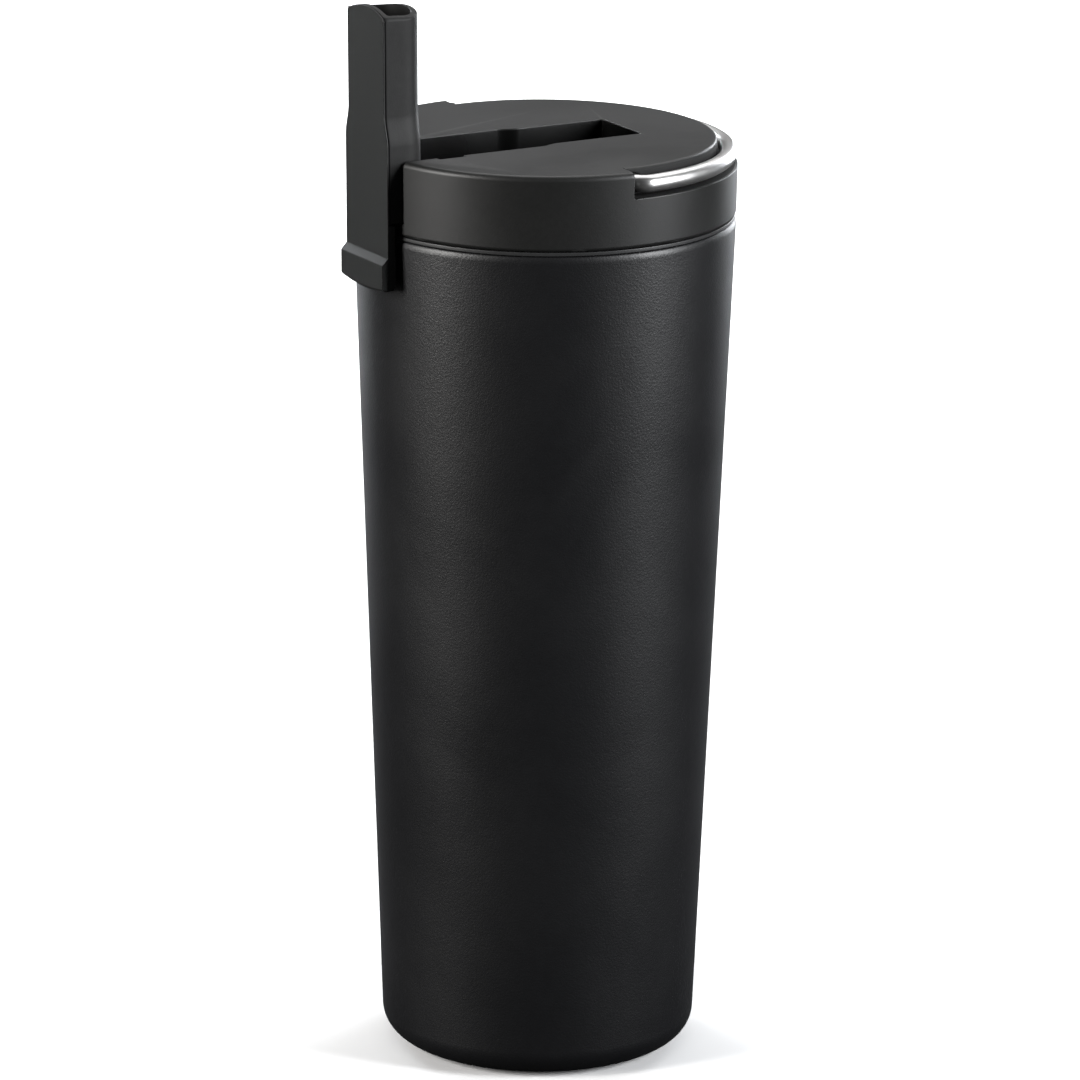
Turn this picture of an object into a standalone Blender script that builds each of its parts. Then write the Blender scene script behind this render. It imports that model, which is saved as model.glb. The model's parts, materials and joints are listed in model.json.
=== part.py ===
"""Insulated travel mug: double-wall steel vessel, screw-in lid, flip-up spout lever and wire carry loop.

Frame: origin at the centre of the base on the table, +Z up, -X towards the raised spout lever and
+X towards the carry loop. All sizes below are millimetres; meshes are written in metres.
"""

import math

import bmesh
import bpy
from mathutils import Matrix, Vector

MM = 0.001
GAP = 0.3                   # running and seating gap between neighbouring pieces
SEGMENTS = 64               # facets round the large turned pieces

# vessel
BASE_RADIUS = 33.43         # outer radius of the cone at the table
TAPER = 0.038               # growth of the radius for each millimetre of height
MOUTH_Z = 182.15            # top of the steel rim
SHELL_T = 0.8
LIP_IN, LIP_DROP = 0.6, 1.5  # the lip of the shell is rounded this far inwards and downwards
LINER_T = 0.7
WALL_DEPTH = 3.6            # outer face of the shell to inner face of the liner
FOOT_Z = 0.4                # underside of the rolled foot corner
FOOT_FILLET = 6.3
FOOT_OPENING = 27.1         # radius of the opening in the bottom of the shell
BASE_Z = 1.9                # underside of the pressed bottom, above its pad
BASE_LIP_H = 3.6            # its upturned lip stands inside the foot opening
DIMPLE_R, DIMPLE_H = 9.0, 2.0  # the evacuation dimple in its middle
VENT_PIN_R = 1.2            # the evacuation hole that the glass bead closes
PAD_EASE = 0.6
GETTER_X = 15.5
LINER_FLOOR_Z = 9.5
LINER_FILLET = 6.0
NECK_RADIUS = 37.6          # straight neck that takes the lid's plug
NECK_BOTTOM_Z = 166.5
SHOULDER_H = 3.0

# lid
LID_TOP_Z = 199.15
LID_BOTTOM_Z = 183.2
LID_RADIUS = 40.55
LID_SKIRT_RADIUS = 40.3     # at the lower edge, so the wall flares upwards very slightly
LID_EDGE_ROUND = 1.2
LID_FOOT_ROUND = 0.8
LID_PLATE_T = 2.0
SKIRT_INNER = 38.5
DRUM_RADIUS = 36.1          # the lid's upper half drum, inside the carry loop
REBATE_DEPTH = 5.5
REBATE_END_X = -2.1         # square ends of the rebate
DRUM_WALL = 1.7

# slot for the folded spout lever
SLOT_END_X = 18.5
SLOT_NARROW = 8.1           # half widths
SLOT_WIDE = 9.35
SLOT_BLEND = (-6.5, -1.8)   # the slot narrows between these two places along X
SLOT_DEPTH = 11.0
SLOT_WALL = 1.5
KEEL_RADIUS = 39.0            # the trough's rear end follows the inside of the lid's wall
NOTCH_DEPTH = 13.3          # depth of the notch in the lid's wall

# spout lever, upright at rest
FACE_X = -42.7              # outer face of the lever
FACE_DEPTH = 14.5           # from the lever's face to its pivot, so it folds flush with the lid
PIVOT_X = FACE_X + FACE_DEPTH
PIVOT_Z = LID_TOP_Z - FACE_DEPTH
LEVER_LEAN = 0.7            # degrees that the open lever leans outwards
TIP_Z = LID_TOP_Z + 30.0    # top corners of the lever
TIP_CROWN = 1.7             # rise of the tip at its middle
MOUTH_DROP = 1.05           # fall of the mouth from the face plate to the belly
COVER_T = 0.6
COVER_NARROW = 7.7          # half widths of the face plate
COVER_WIDE = 9.0
LEVER_BLEND = (LID_TOP_Z + 3.2, LID_TOP_Z + 9.5)
BLEND_STEPS = 6
TUBE_INSET = 0.2            # the tube is this much narrower than the plate on each side
BELLY_X = -32.2             # inner side of the tube
TUBE_FRONT_X = FACE_X + COVER_T + GAP
TUBE_SIDE_X = -38.2         # the straight sides end here and the round belly starts
TUBE_BOTTOM_Z = LID_TOP_Z - 12.9
TUBE_WALL = 1.3
BORE_BOTTOM_Z = LID_TOP_Z - 9.0
TAIL_BACK_X = -40.9         # back of the plate below the tube
TAB_X = -44.05              # front of the thumb tab
TAB_Z = (LID_TOP_Z - 27.1, LID_TOP_Z - 26.5, LID_TOP_Z - 21.5, LID_TOP_Z - 20.1)  # edge, front, slope
TAB_CROWN = -0.7            # the tab's lower edge dips in the middle
TAB_EASE = 0.6              # chamfer round its lower edge
BARREL_RADIUS = 5.5
BARREL_HALF = 8.85
TRUNNION_RADIUS = 2.8
TRUNNION_HALF = 10.25
SADDLE_RADIUS = TRUNNION_RADIUS + GAP
SADDLE_HALF = TRUNNION_HALF + GAP
PORT_RADIUS = 2.3
BORE_ELBOW = (-8.7, 7.0)    # from the pivot to where the slanting bore meets the tube's own
WEB_HALF = 5.6
WEB = ((-8.6, 1.65), (-3.0, 1.65), (-0.1, 4.5), (-0.1, 6.4), (-1.5, 7.0), (-4.4, 7.1), (-8.6, 7.1))
SADDLE_END_X = -19.8        # inner end of the block that carries the barrel
SADDLE_WALL = 1.6
WELL_X = (-34.6, -20.6)     # the opening in the trough's floor over the barrel

# plug
PLUG_RADIUS = 36.2
PLUG_INNER = 33.2
PLUG_BOTTOM_Z = 170.0
PLUG_FLOOR_T = 2.0
PLUG_TOP_Z = PIVOT_Z - 0.4
FLANGE_RADIUS = 40.05
FLANGE_Z = (MOUTH_Z + GAP, LID_BOTTOM_Z - GAP)
SPIGOT_RADIUS = SKIRT_INNER - GAP
GASKET_Z = (171.0, 174.5)
GASKET_ROOT = 34.9
THREAD_CREST = 37.15
THREAD_PITCH = 3.2
THREAD_START_Z = 176.6
THREAD_TURNS = 1.4
THREAD_FOOT, THREAD_TOP = 0.95, 0.4   # half widths of the ridge at its root and crest
SEAL_T = 1.2
SEAL_HALF = 6.3
SEAL_SPAN = 45.0            # degrees each side of straight down

# straw, on an axis that leans a little towards the middle of the cup
STRAW_TOP = Vector((-28.2, 0.0, 173.9))
STRAW_FOOT = Vector((-23.8, 0.0, 12.8))
STRAW_RADIUS = 3.25
STRAW_BORE = 2.5
SOCKET_RADIUS = 5.0
SOCKET_WALL = 1.5
SOCKET_BOTTOM_Z = 164.2

# vent
VENT_X = 18.0
VENT_CHANNEL_X, VENT_CHANNEL_RADIUS = 10.0, 1.3
VENT_HOLE = 2.0

# carry loop
LOOP_RADIUS = 38.5
LOOP_ROD = 1.8
LOOP_PIVOT_X = 0.1
LOOP_Z = LID_TOP_Z - 3.05
LOOP_BEND = 2.5
LOOP_END_Y = 32.0
BOSS_RADIUS = 3.0           # round bosses in the drum that hold the loop's ends


def clear_scene():
    """Remove every object, so that the file holds only this mug."""
    for old in list(bpy.data.objects):
        bpy.data.objects.remove(old, do_unlink=True)


def make_material(name, color, roughness, metallic=0.0):
    """One Principled material with a plain colour, roughness and metallic value."""
    material = bpy.data.materials.new(name)
    material.use_nodes = True
    shader = material.node_tree.nodes["Principled BSDF"]
    shader.inputs["Base Color"].default_value = (*color, 1.0)
    shader.inputs["Roughness"].default_value = roughness
    shader.inputs["Metallic"].default_value = metallic
    return material


def finish(name, mesh_builder, material=None):
    """Turn a bmesh into an object with outward faces, smooth where it is round."""
    bmesh.ops.remove_doubles(mesh_builder, verts=mesh_builder.verts, dist=1e-7)
    bmesh.ops.recalc_face_normals(mesh_builder, faces=mesh_builder.faces)
    mesh = bpy.data.meshes.new(name)
    mesh_builder.to_mesh(mesh)
    mesh_builder.free()
    mesh.shade_smooth()
    mesh.set_sharp_from_angle(angle=math.radians(35))
    obj = bpy.data.objects.new(name, mesh)
    bpy.context.scene.collection.objects.link(obj)
    if material:
        mesh.materials.append(material)
    return obj


def arc(center, radius, start, end, steps):
    """Points on a circle from one angle to another, in degrees, both ends included."""
    angles = [math.radians(start + (end - start) * i / steps) for i in range(steps + 1)]
    return [(center[0] + radius * math.cos(a), center[1] + radius * math.sin(a)) for a in angles]


def turned(name, outline, material=None, segments=SEGMENTS):
    """Spin an outline of (radius, height) points round Z.

    An outline that starts and ends on the axis is left open there; any other is closed first.
    """
    bm = bmesh.new()
    ring = [bm.verts.new((r * MM, 0.0, z * MM)) for r, z in outline]
    pairs = list(zip(ring, ring[1:]))
    if outline[0][0] > 0.0:
        pairs.append((ring[-1], ring[0]))
    edges = [bm.edges.new(pair) for pair in pairs]
    bmesh.ops.spin(bm, geom=ring + edges, cent=(0, 0, 0), axis=(0, 0, 1),
                   angle=math.tau, steps=segments, use_merge=True)
    return finish(name, bm, material)


def lofted(name, sections, material=None, closed=False):
    """Skin a run of equal closed sections, each a list of (x, y, z) points, and cap both ends."""
    bm = bmesh.new()
    rings = [[bm.verts.new((x * MM, y * MM, z * MM)) for x, y, z in section] for section in sections]
    count = len(rings[0])
    pairs = list(zip(rings, rings[1:]))
    if closed:
        pairs.append((rings[-1], rings[0]))
    for low, high in pairs:
        for i in range(count):
            j = (i + 1) % count
            bm.faces.new((low[i], low[j], high[j], high[i]))
    if not closed:
        bm.faces.new(rings[0])
        bm.faces.new(rings[-1])
    return finish(name, bm, material)


def extruded(name, outline, low, high, material=None):
    """Straight prism between two heights over an outline of (x, y) points."""
    return lofted(name, [[(x, y, z) for x, y in outline] for z in (low, high)], material)


def prism_along_y(name, outline, half, material=None):
    """Straight prism along Y, to the same distance each side, over an outline of (x, z) points."""
    return lofted(name, [[(x, y, z) for x, z in outline] for y in (-half, half)], material)


def rod(name, start, end, radius, segments=24, material=None):
    """Round bar between two points."""
    start, end = Vector(start), Vector(end)
    turn = (end - start).to_track_quat("Z", "Y").to_matrix()
    circle = [turn @ Vector((x, y, 0.0)) for x, y in arc((0, 0), radius, 0, 360 - 360 / segments,
                                                         segments - 1)]
    return lofted(name, [[tuple(end_point + p) for p in circle] for end_point in (start, end)], material)


def combine(target, tool, operation):
    """Boolean the tool into the target, and keep the tool as a hidden wireframe cutter."""
    modifier = target.modifiers.new(operation.title() + " " + tool.name, "BOOLEAN")
    modifier.operation = operation
    modifier.object = tool
    tool.hide_render = True
    tool.display_type = "WIRE"
    tool.data.materials.clear()


def cut(target, *tools):
    for tool in tools:
        combine(target, tool, "DIFFERENCE")


def join(target, *tools):
    for tool in tools:
        combine(target, tool, "UNION")


def blend(value, low, high):
    """0 below low, 1 above high and a smooth S between them."""
    t = min(max((value - low) / (high - low), 0.0), 1.0)
    return t * t * (3.0 - 2.0 * t)


def outer_radius(z):
    return BASE_RADIUS + TAPER * z


# ---------------------------------------------------------------- vessel

def build_outer_shell():
    """Tapered outer wall, rolled in at the foot and left open in the middle of the bottom."""
    material = make_material("powder_coat_black", (0.018, 0.018, 0.020), 0.52)
    center_z = FOOT_Z + FOOT_FILLET
    center = (outer_radius(center_z) - FOOT_FILLET, center_z)
    tilt = math.degrees(math.atan(TAPER))
    mouth_r = outer_radius(MOUTH_Z)
    outline = [(mouth_r + LIP_IN * (x - 1.0), MOUTH_Z + LIP_DROP * (z - 1.0))
               for x, z in arc((0, 0), 1.0, 90, 0, 4)]
    outline += arc(center, FOOT_FILLET, -tilt, -90, 7)
    outline += [(FOOT_OPENING, FOOT_Z), (FOOT_OPENING, FOOT_Z + SHELL_T)]
    outline += arc(center, FOOT_FILLET - SHELL_T, -90, -tilt, 7)
    outline += [(mouth_r - SHELL_T, MOUTH_Z)]
    return turned("outer_shell", outline, material)


def build_inner_liner():
    """Deep-drawn inner cup with a straight neck and an out-turned rim."""
    material = make_material("liner_steel", (0.62, 0.62, 0.61), 0.32, 1.0)
    wall_foot_z = LINER_FLOOR_Z + LINER_FILLET
    center = (outer_radius(wall_foot_z) - WALL_DEPTH - LINER_FILLET, wall_foot_z)
    shoulder_z = NECK_BOTTOM_Z - SHOULDER_H
    shoulder_r = outer_radius(shoulder_z) - WALL_DEPTH
    rim_r = outer_radius(MOUTH_Z) - SHELL_T - GAP
    tilt = math.degrees(math.atan(TAPER))
    outline = [(0.0, LINER_FLOOR_Z)]
    outline += arc(center, LINER_FILLET, -90, -tilt, 6)
    outline += [(shoulder_r, shoulder_z), (NECK_RADIUS, NECK_BOTTOM_Z), (NECK_RADIUS, MOUTH_Z)]
    outline += [(rim_r, MOUTH_Z), (rim_r, MOUTH_Z - SHELL_T)]
    outline += [(NECK_RADIUS + LINER_T, MOUTH_Z - SHELL_T), (NECK_RADIUS + LINER_T, NECK_BOTTOM_Z - 0.3)]
    outline += [(shoulder_r + LINER_T, shoulder_z - 0.3)]
    outline += arc(center, LINER_FILLET + LINER_T, -tilt, -90, 6)
    outline += [(0.0, LINER_FLOOR_Z - LINER_T)]
    return turned("inner_liner", outline, material)


def build_base():
    """Pressed bottom, evacuation seal, getter and the non-slip pad that the mug stands on."""
    pressing = make_material("base_steel", (0.55, 0.55, 0.54), 0.4, 1.0)
    pad_rubber = make_material("pad_silicone", (0.03, 0.03, 0.032), 0.75)
    solder = make_material("seal_glass", (0.25, 0.24, 0.22), 0.35)
    getter = make_material("getter_grey", (0.3, 0.3, 0.31), 0.6, 0.6)
    rim, low, thick, lip_z = FOOT_OPENING - GAP, BASE_Z, SHELL_T, BASE_Z + BASE_LIP_H
    dome_z = low + DIMPLE_H
    outline = [(VENT_PIN_R, dome_z), (DIMPLE_R - DIMPLE_H, dome_z), (DIMPLE_R, low), (rim, low)]
    outline += [(rim, lip_z), (rim - thick, lip_z), (rim - thick, low + thick)]
    outline += [(DIMPLE_R + 0.4, low + thick), (DIMPLE_R - DIMPLE_H + 0.4, dome_z + thick)]
    outline += [(VENT_PIN_R, dome_z + thick)]
    turned("outer_base", outline, pressing)
    bead = [(0.0, low + 0.4), (2.6, low + 0.6), (3.2, low + 1.1), (2.6, low + 1.6), (0.0, low + 1.7)]
    turned("vacuum_seal_bead", bead, solder, 24)
    turned("base_pad", [(0.0, 0.0), (rim - PAD_EASE, 0.0), (rim, PAD_EASE), (rim, low - GAP),
                        (0.0, low - GAP)], pad_rubber)
    capsule = [(0.0, 0.0), (5.0, 0.0), (5.0, 1.4), (4.0, 2.2), (0.0, 2.2)]
    pellet = turned("getter_capsule", capsule, getter, 24)
    pellet.location = Vector((GETTER_X, 0.0, low + thick + GAP)) * MM


# ------------------------------------------------------------------- lid

def keel_outline(end_x, half_width, radius):
    """Strip along the slot, square at +X and following a circle of this radius at -X."""
    swing = math.degrees(math.asin(half_width / radius))
    return [(end_x, -half_width), (end_x, half_width)] + arc((0, 0), radius, 180 - swing, 180 + swing, 8)


def box_outline(low_x, high_x, half_width):
    return [(low_x, -half_width), (high_x, -half_width), (high_x, half_width), (low_x, half_width)]


def slot_outline(reach):
    """Outline of the slot: narrow at +X, a smooth widening, then wide as far as reach at -X."""
    steps = [SLOT_BLEND[1] + (SLOT_BLEND[0] - SLOT_BLEND[1]) * i / 6 for i in range(7)]
    side = [(SLOT_END_X, SLOT_NARROW)]
    side += [(x, SLOT_WIDE + (SLOT_NARROW - SLOT_WIDE) * blend(x, *SLOT_BLEND)) for x in steps]
    side += [(reach, SLOT_WIDE)]
    return side + [(x, -y) for x, y in reversed(side)]


def rebate_outline():
    """Half ring outside the drum, with both ends cut square across."""
    inner = math.degrees(math.acos(REBATE_END_X / DRUM_RADIUS))
    outer_r = LID_RADIUS + 5.0
    outer = math.degrees(math.acos(REBATE_END_X / outer_r))
    return arc((0, 0), DRUM_RADIUS, -inner, inner, 40) + arc((0, 0), outer_r, outer, -outer, 40)


def build_lid_shell(material):
    """Lid cap: hollow underneath, with the lever's trough, its notch, and the rebate for the loop."""
    top, ceiling, above = LID_TOP_Z, LID_TOP_Z - LID_PLATE_T, LID_TOP_Z + 3.0
    beyond = LID_RADIUS + 10.0
    shelf_z = LID_TOP_Z - REBATE_DEPTH - DRUM_WALL
    outline = [(0.0, top)]
    outline += arc((LID_RADIUS - LID_EDGE_ROUND, top - LID_EDGE_ROUND), LID_EDGE_ROUND, 90, 0, 4)
    outline += arc((LID_SKIRT_RADIUS - LID_FOOT_ROUND, LID_BOTTOM_Z + LID_FOOT_ROUND), LID_FOOT_ROUND,
                   0, -90, 4)
    outline += [(SKIRT_INNER, LID_BOTTOM_Z), (SKIRT_INNER, shelf_z)]
    outline += [(DRUM_RADIUS - DRUM_WALL, shelf_z), (DRUM_RADIUS - DRUM_WALL, ceiling), (0.0, ceiling)]
    lid = turned("lid_shell", outline, material)

    trough_low = LID_TOP_Z - SLOT_DEPTH - SLOT_WALL
    well_half = SADDLE_HALF + SADDLE_WALL
    join(lid,
         extruded("trough_block", keel_outline(SLOT_END_X + SLOT_WALL, SLOT_WIDE + SLOT_WALL, KEEL_RADIUS),
                  trough_low, ceiling + 0.5),
         extruded("well_block", keel_outline(SADDLE_END_X + 0.8, well_half, KEEL_RADIUS + 0.1),
                  PLUG_TOP_Z + GAP, ceiling + 0.8))
    for side in (-1, 1):
        tag = "front" if side < 0 else "rear"
        boss_foot, boss_head = side * (LOOP_END_Y - 2.5), side * (DRUM_RADIUS - 0.8)
        join(lid, rod("loop_boss_" + tag, (LOOP_PIVOT_X, boss_foot, LOOP_Z),
                      (LOOP_PIVOT_X, boss_head, LOOP_Z), BOSS_RADIUS, 16))

    cut(lid,
        extruded("slot_cutter", slot_outline(-beyond), LID_TOP_Z - SLOT_DEPTH, above),
        extruded("notch_cutter", box_outline(-beyond, -30.0, SLOT_WIDE), LID_TOP_Z - NOTCH_DEPTH,
                 above - 0.5),
        extruded("well_cutter", box_outline(*WELL_X, SLOT_WIDE), PLUG_TOP_Z - 1.0, above - 0.25),
        extruded("trunnion_groove_cutter",
                 box_outline(PIVOT_X - SADDLE_RADIUS, PIVOT_X + SADDLE_RADIUS, SADDLE_HALF),
                 PLUG_TOP_Z - 1.5, above - 0.75),
        extruded("rebate_cutter", rebate_outline(), LID_TOP_Z - REBATE_DEPTH, above - 1.0),
        rod("vent_channel_cutter", (VENT_CHANNEL_X, 0, trough_low - 1),
            (VENT_CHANNEL_X, 0, LID_TOP_Z - SLOT_DEPTH + 1), VENT_CHANNEL_RADIUS, 12))
    for side in (-1, 1):
        tag = "front" if side < 0 else "rear"
        cut(lid, rod("loop_socket_cutter_" + tag, (LOOP_PIVOT_X, side * (LOOP_END_Y - GAP - 0.5), LOOP_Z),
                     (LOOP_PIVOT_X, side * (DRUM_RADIUS + 3.0), LOOP_Z), LOOP_ROD + GAP, 16))
    return lid


def straw_point(z):
    """Point on the straw's leaning axis at this height."""
    t = (z - STRAW_FOOT.z) / (STRAW_TOP.z - STRAW_FOOT.z)
    return STRAW_FOOT.lerp(STRAW_TOP, t)


def thread_ridge():
    """Trapezoid ridge wound round the plug, fading to nothing at both ends."""
    steps = int(THREAD_TURNS * SEGMENTS)
    sections = []
    for i in range(steps + 1):
        t = i / steps
        angle = math.tau * THREAD_TURNS * t
        z = THREAD_START_Z + THREAD_PITCH * THREAD_TURNS * t
        fade = min(1.0, 8.0 * t, 8.0 * (1.0 - t))
        crest = PLUG_RADIUS - 0.2 + (THREAD_CREST - PLUG_RADIUS + 0.2) * fade
        corners = ((PLUG_RADIUS - 0.8, -THREAD_FOOT), (crest, -THREAD_TOP), (crest, THREAD_TOP),
                   (PLUG_RADIUS - 0.8, THREAD_FOOT))
        sections.append([(r * math.cos(angle), r * math.sin(angle), z + dz) for r, dz in corners])
    return lofted("thread_ridge", sections)


def build_lid_plug(material):
    """Threaded lower half of the lid: a cup that closes the cap and carries the spout's pivot saddle."""
    floor_z = PLUG_BOTTOM_Z + PLUG_FLOOR_T
    outline = [(0.0, PLUG_BOTTOM_Z), (PLUG_RADIUS - 0.5, PLUG_BOTTOM_Z), (PLUG_RADIUS, PLUG_BOTTOM_Z + 0.5)]
    outline += [(PLUG_RADIUS, GASKET_Z[0]), (GASKET_ROOT, GASKET_Z[0]), (GASKET_ROOT, GASKET_Z[1])]
    outline += [(PLUG_RADIUS, GASKET_Z[1]), (PLUG_RADIUS, FLANGE_Z[0]), (FLANGE_RADIUS, FLANGE_Z[0])]
    outline += [(FLANGE_RADIUS, FLANGE_Z[1]), (SPIGOT_RADIUS, FLANGE_Z[1]), (SPIGOT_RADIUS, PLUG_TOP_Z)]
    outline += [(PLUG_INNER, PLUG_TOP_Z), (PLUG_INNER, floor_z), (0.0, floor_z)]
    plug = turned("lid_plug", outline, material)

    saddle_outline = keel_outline(SADDLE_END_X, SADDLE_HALF + SADDLE_WALL, GASKET_ROOT - 0.4)
    saddle = extruded("saddle_block", saddle_outline, floor_z - 0.5, PLUG_TOP_Z - 0.02)
    socket = rod("straw_socket", straw_point(SOCKET_BOTTOM_Z), straw_point(PLUG_BOTTOM_Z + 1.0),
                 SOCKET_RADIUS + SOCKET_WALL, 24)
    join(plug, saddle, socket, thread_ridge())

    pocket_r = BARREL_RADIUS + GAP + SEAL_T + GAP
    spread = SEAL_SPAN + 2.5
    pocket = arc((PIVOT_X, PIVOT_Z), pocket_r, -90 - spread, -90 + spread, 12) + [(PIVOT_X, PIVOT_Z)]
    cut(plug,
        rod("barrel_cutter", (PIVOT_X, -SLOT_WIDE, PIVOT_Z), (PIVOT_X, SLOT_WIDE, PIVOT_Z),
            BARREL_RADIUS + GAP, 32),
        rod("saddle_cutter", (PIVOT_X, -SADDLE_HALF, PIVOT_Z), (PIVOT_X, SADDLE_HALF, PIVOT_Z),
            SADDLE_RADIUS, 24),
        prism_along_y("seal_pocket_cutter", pocket, SEAL_HALF + GAP),
        rod("socket_bore_cutter", straw_point(SOCKET_BOTTOM_Z - 1.0), straw_point(STRAW_TOP.z + 0.7),
            SOCKET_RADIUS, 24),
        rod("port_cutter", (PIVOT_X + 0.2, 0, PIVOT_Z - 5.0), (PIVOT_X + 0.3, 0, STRAW_TOP.z - 1.0),
            PORT_RADIUS, 16),
        rod("vent_hole_cutter", (VENT_X, 0, PLUG_BOTTOM_Z - 1.0), (VENT_X, 0, floor_z + 1.0), VENT_HOLE, 16))
    return plug


def build_lid_seals(silicone):
    """Neck gasket, barrel seal, straw sleeve and vent valve."""
    low, high = GASKET_Z[0] + GAP, GASKET_Z[1] - GAP
    root, tip, mid = GASKET_ROOT + GAP, NECK_RADIUS - GAP, 0.5 * (low + high)
    turned("lid_gasket", [(root, low), (root + 1.2, low), (tip, low + 0.35), (tip, low + 0.75),
                          (root + 1.2, mid), (tip, high - 0.75), (tip, high - 0.35), (root + 1.2, high),
                          (root, high)], silicone)

    inner, outer = BARREL_RADIUS + GAP, BARREL_RADIUS + GAP + SEAL_T
    outline = arc((PIVOT_X, PIVOT_Z), inner, -90 - SEAL_SPAN, -90 + SEAL_SPAN, 12)
    outline += arc((PIVOT_X, PIVOT_Z), outer, -90 + SEAL_SPAN, -90 - SEAL_SPAN, 12)
    seal = prism_along_y("spout_seal", outline, SEAL_HALF, silicone)
    cut(seal, rod("seal_bore_cutter", (PIVOT_X, 0, PIVOT_Z - 4.0), (PIVOT_X, 0, PIVOT_Z - 9.0),
                  PORT_RADIUS, 16))

    bore = STRAW_RADIUS + GAP
    sleeve = rod("straw_sleeve", straw_point(SOCKET_BOTTOM_Z - 1.1), straw_point(STRAW_TOP.z + 0.1),
                 SOCKET_RADIUS - GAP, 24, silicone)
    join(sleeve, rod("sleeve_flange", straw_point(SOCKET_BOTTOM_Z - 1.3), straw_point(SOCKET_BOTTOM_Z - 0.5),
                     SOCKET_RADIUS + 1.1, 24))
    cut(sleeve, rod("sleeve_bore_cutter", straw_point(SOCKET_BOTTOM_Z - 3.0), straw_point(STRAW_TOP.z + 2.0),
                    bore, 24))

    disc_top, floor_top = PLUG_BOTTOM_Z - GAP, PLUG_BOTTOM_Z + PLUG_FLOOR_T + GAP
    stem = VENT_HOLE - GAP
    umbrella = [(0.0, disc_top - 0.9), (4.2, disc_top - 0.5), (4.6, disc_top), (stem, disc_top)]
    barb = [(stem, floor_top), (2.6, floor_top + 0.2), (2.0, floor_top + 1.4), (0.0, floor_top + 1.8)]
    valve = turned("vent_valve", umbrella + barb, silicone, 24)
    valve.location = Vector((VENT_X, 0.0, 0.0)) * MM


def build_straw():
    """Stiff drinking straw, hanging from its sleeve down to the floor of the cup."""
    material = make_material("straw_plastic", (0.04, 0.04, 0.042), 0.4)
    axis = (STRAW_TOP - STRAW_FOOT).to_track_quat("Z", "Y").to_matrix()
    sections = []
    for end, radius in ((STRAW_FOOT, STRAW_RADIUS), (STRAW_TOP, STRAW_RADIUS),
                        (STRAW_TOP, STRAW_BORE), (STRAW_FOOT, STRAW_BORE)):
        circle = arc((0, 0), radius, 0, 345, 23)
        sections.append([tuple(end + axis @ Vector((x, y, 0.0))) for x, y in circle])
    return lofted("drinking_straw", sections, material, closed=True)


# ----------------------------------------------------------------- spout

def lever_half_width(z):
    """Half width of the face plate: narrow at the tip, wide where it goes down past the lid."""
    return COVER_WIDE + (COVER_NARROW - COVER_WIDE) * blend(z, *LEVER_BLEND)


def blend_levels():
    low, high = LEVER_BLEND
    return [low + (high - low) * i / BLEND_STEPS for i in range(BLEND_STEPS + 1)]


def lean_lever(obj):
    """Lean a finished lever part, and the tools that shape it, outwards about the pivot."""
    pivot = Vector((PIVOT_X, 0.0, PIVOT_Z)) * MM
    turn = Matrix.Rotation(-math.radians(LEVER_LEAN), 4, "Y")
    for piece in [obj] + [modifier.object for modifier in obj.modifiers]:
        piece.data.transform(Matrix.Translation(pivot) @ turn @ Matrix.Translation(-pivot))
    return obj


def build_spout_cover(material):
    """Face plate of the lever, with the thumb tab at its lower end."""
    back_x = FACE_X + COVER_T
    tail_z = TUBE_BOTTOM_Z - GAP
    edge_z, front_z, slope_low_z, slope_high_z = TAB_Z
    levels = [(TIP_Z, TIP_CROWN, FACE_X, back_x)]
    levels += [(z, 0.0, FACE_X, back_x) for z in reversed(blend_levels())]
    levels += [(tail_z, 0.0, FACE_X, back_x), (tail_z, 0.0, FACE_X, TAIL_BACK_X)]
    levels += [(slope_high_z, 0.0, FACE_X, TAIL_BACK_X), (slope_low_z, 0.0, TAB_X, TAIL_BACK_X)]
    levels += [(front_z, TAB_CROWN, TAB_X, TAIL_BACK_X)]
    levels += [(edge_z, TAB_CROWN, TAB_X + TAB_EASE, TAIL_BACK_X - TAB_EASE)]
    columns = [i / 4 - 1.0 for i in range(9)]
    sections = []
    for z, crown, front, back in levels:
        half = lever_half_width(z)
        edge = [(u * half, z + crown * (1.0 - u * u)) for u in columns]
        sections.append([(front, y, h) for y, h in edge] + [(back, y, h) for y, h in reversed(edge)])
    return lean_lever(lofted("spout_cover", sections, material))


def tube_section(half_width, inset, height):
    """D-shaped ring: flat at the face plate, straight sides and a rounded belly.

    height gives the level at each place along the depth and across, which shapes the mouth.
    """
    front, side, belly = TUBE_FRONT_X + inset, TUBE_SIDE_X, BELLY_X - inset
    half = half_width - inset
    points = [(front, -half), (0.5 * (front + side), -half)]
    for i in range(17):
        a = math.radians(-90 + 180 * i / 16)
        squareness = 0.8
        x = side + (belly - side) * math.copysign(abs(math.cos(a)) ** squareness, math.cos(a))
        y = half * math.copysign(abs(math.sin(a)) ** squareness, math.sin(a))
        points.append((x, y))
    points += [(0.5 * (front + side), half), (front, half)]
    points += [(front, half * (1.0 - i / 2)) for i in range(1, 4)]
    return [(x, y, height(x, y)) for x, y in points]


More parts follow.
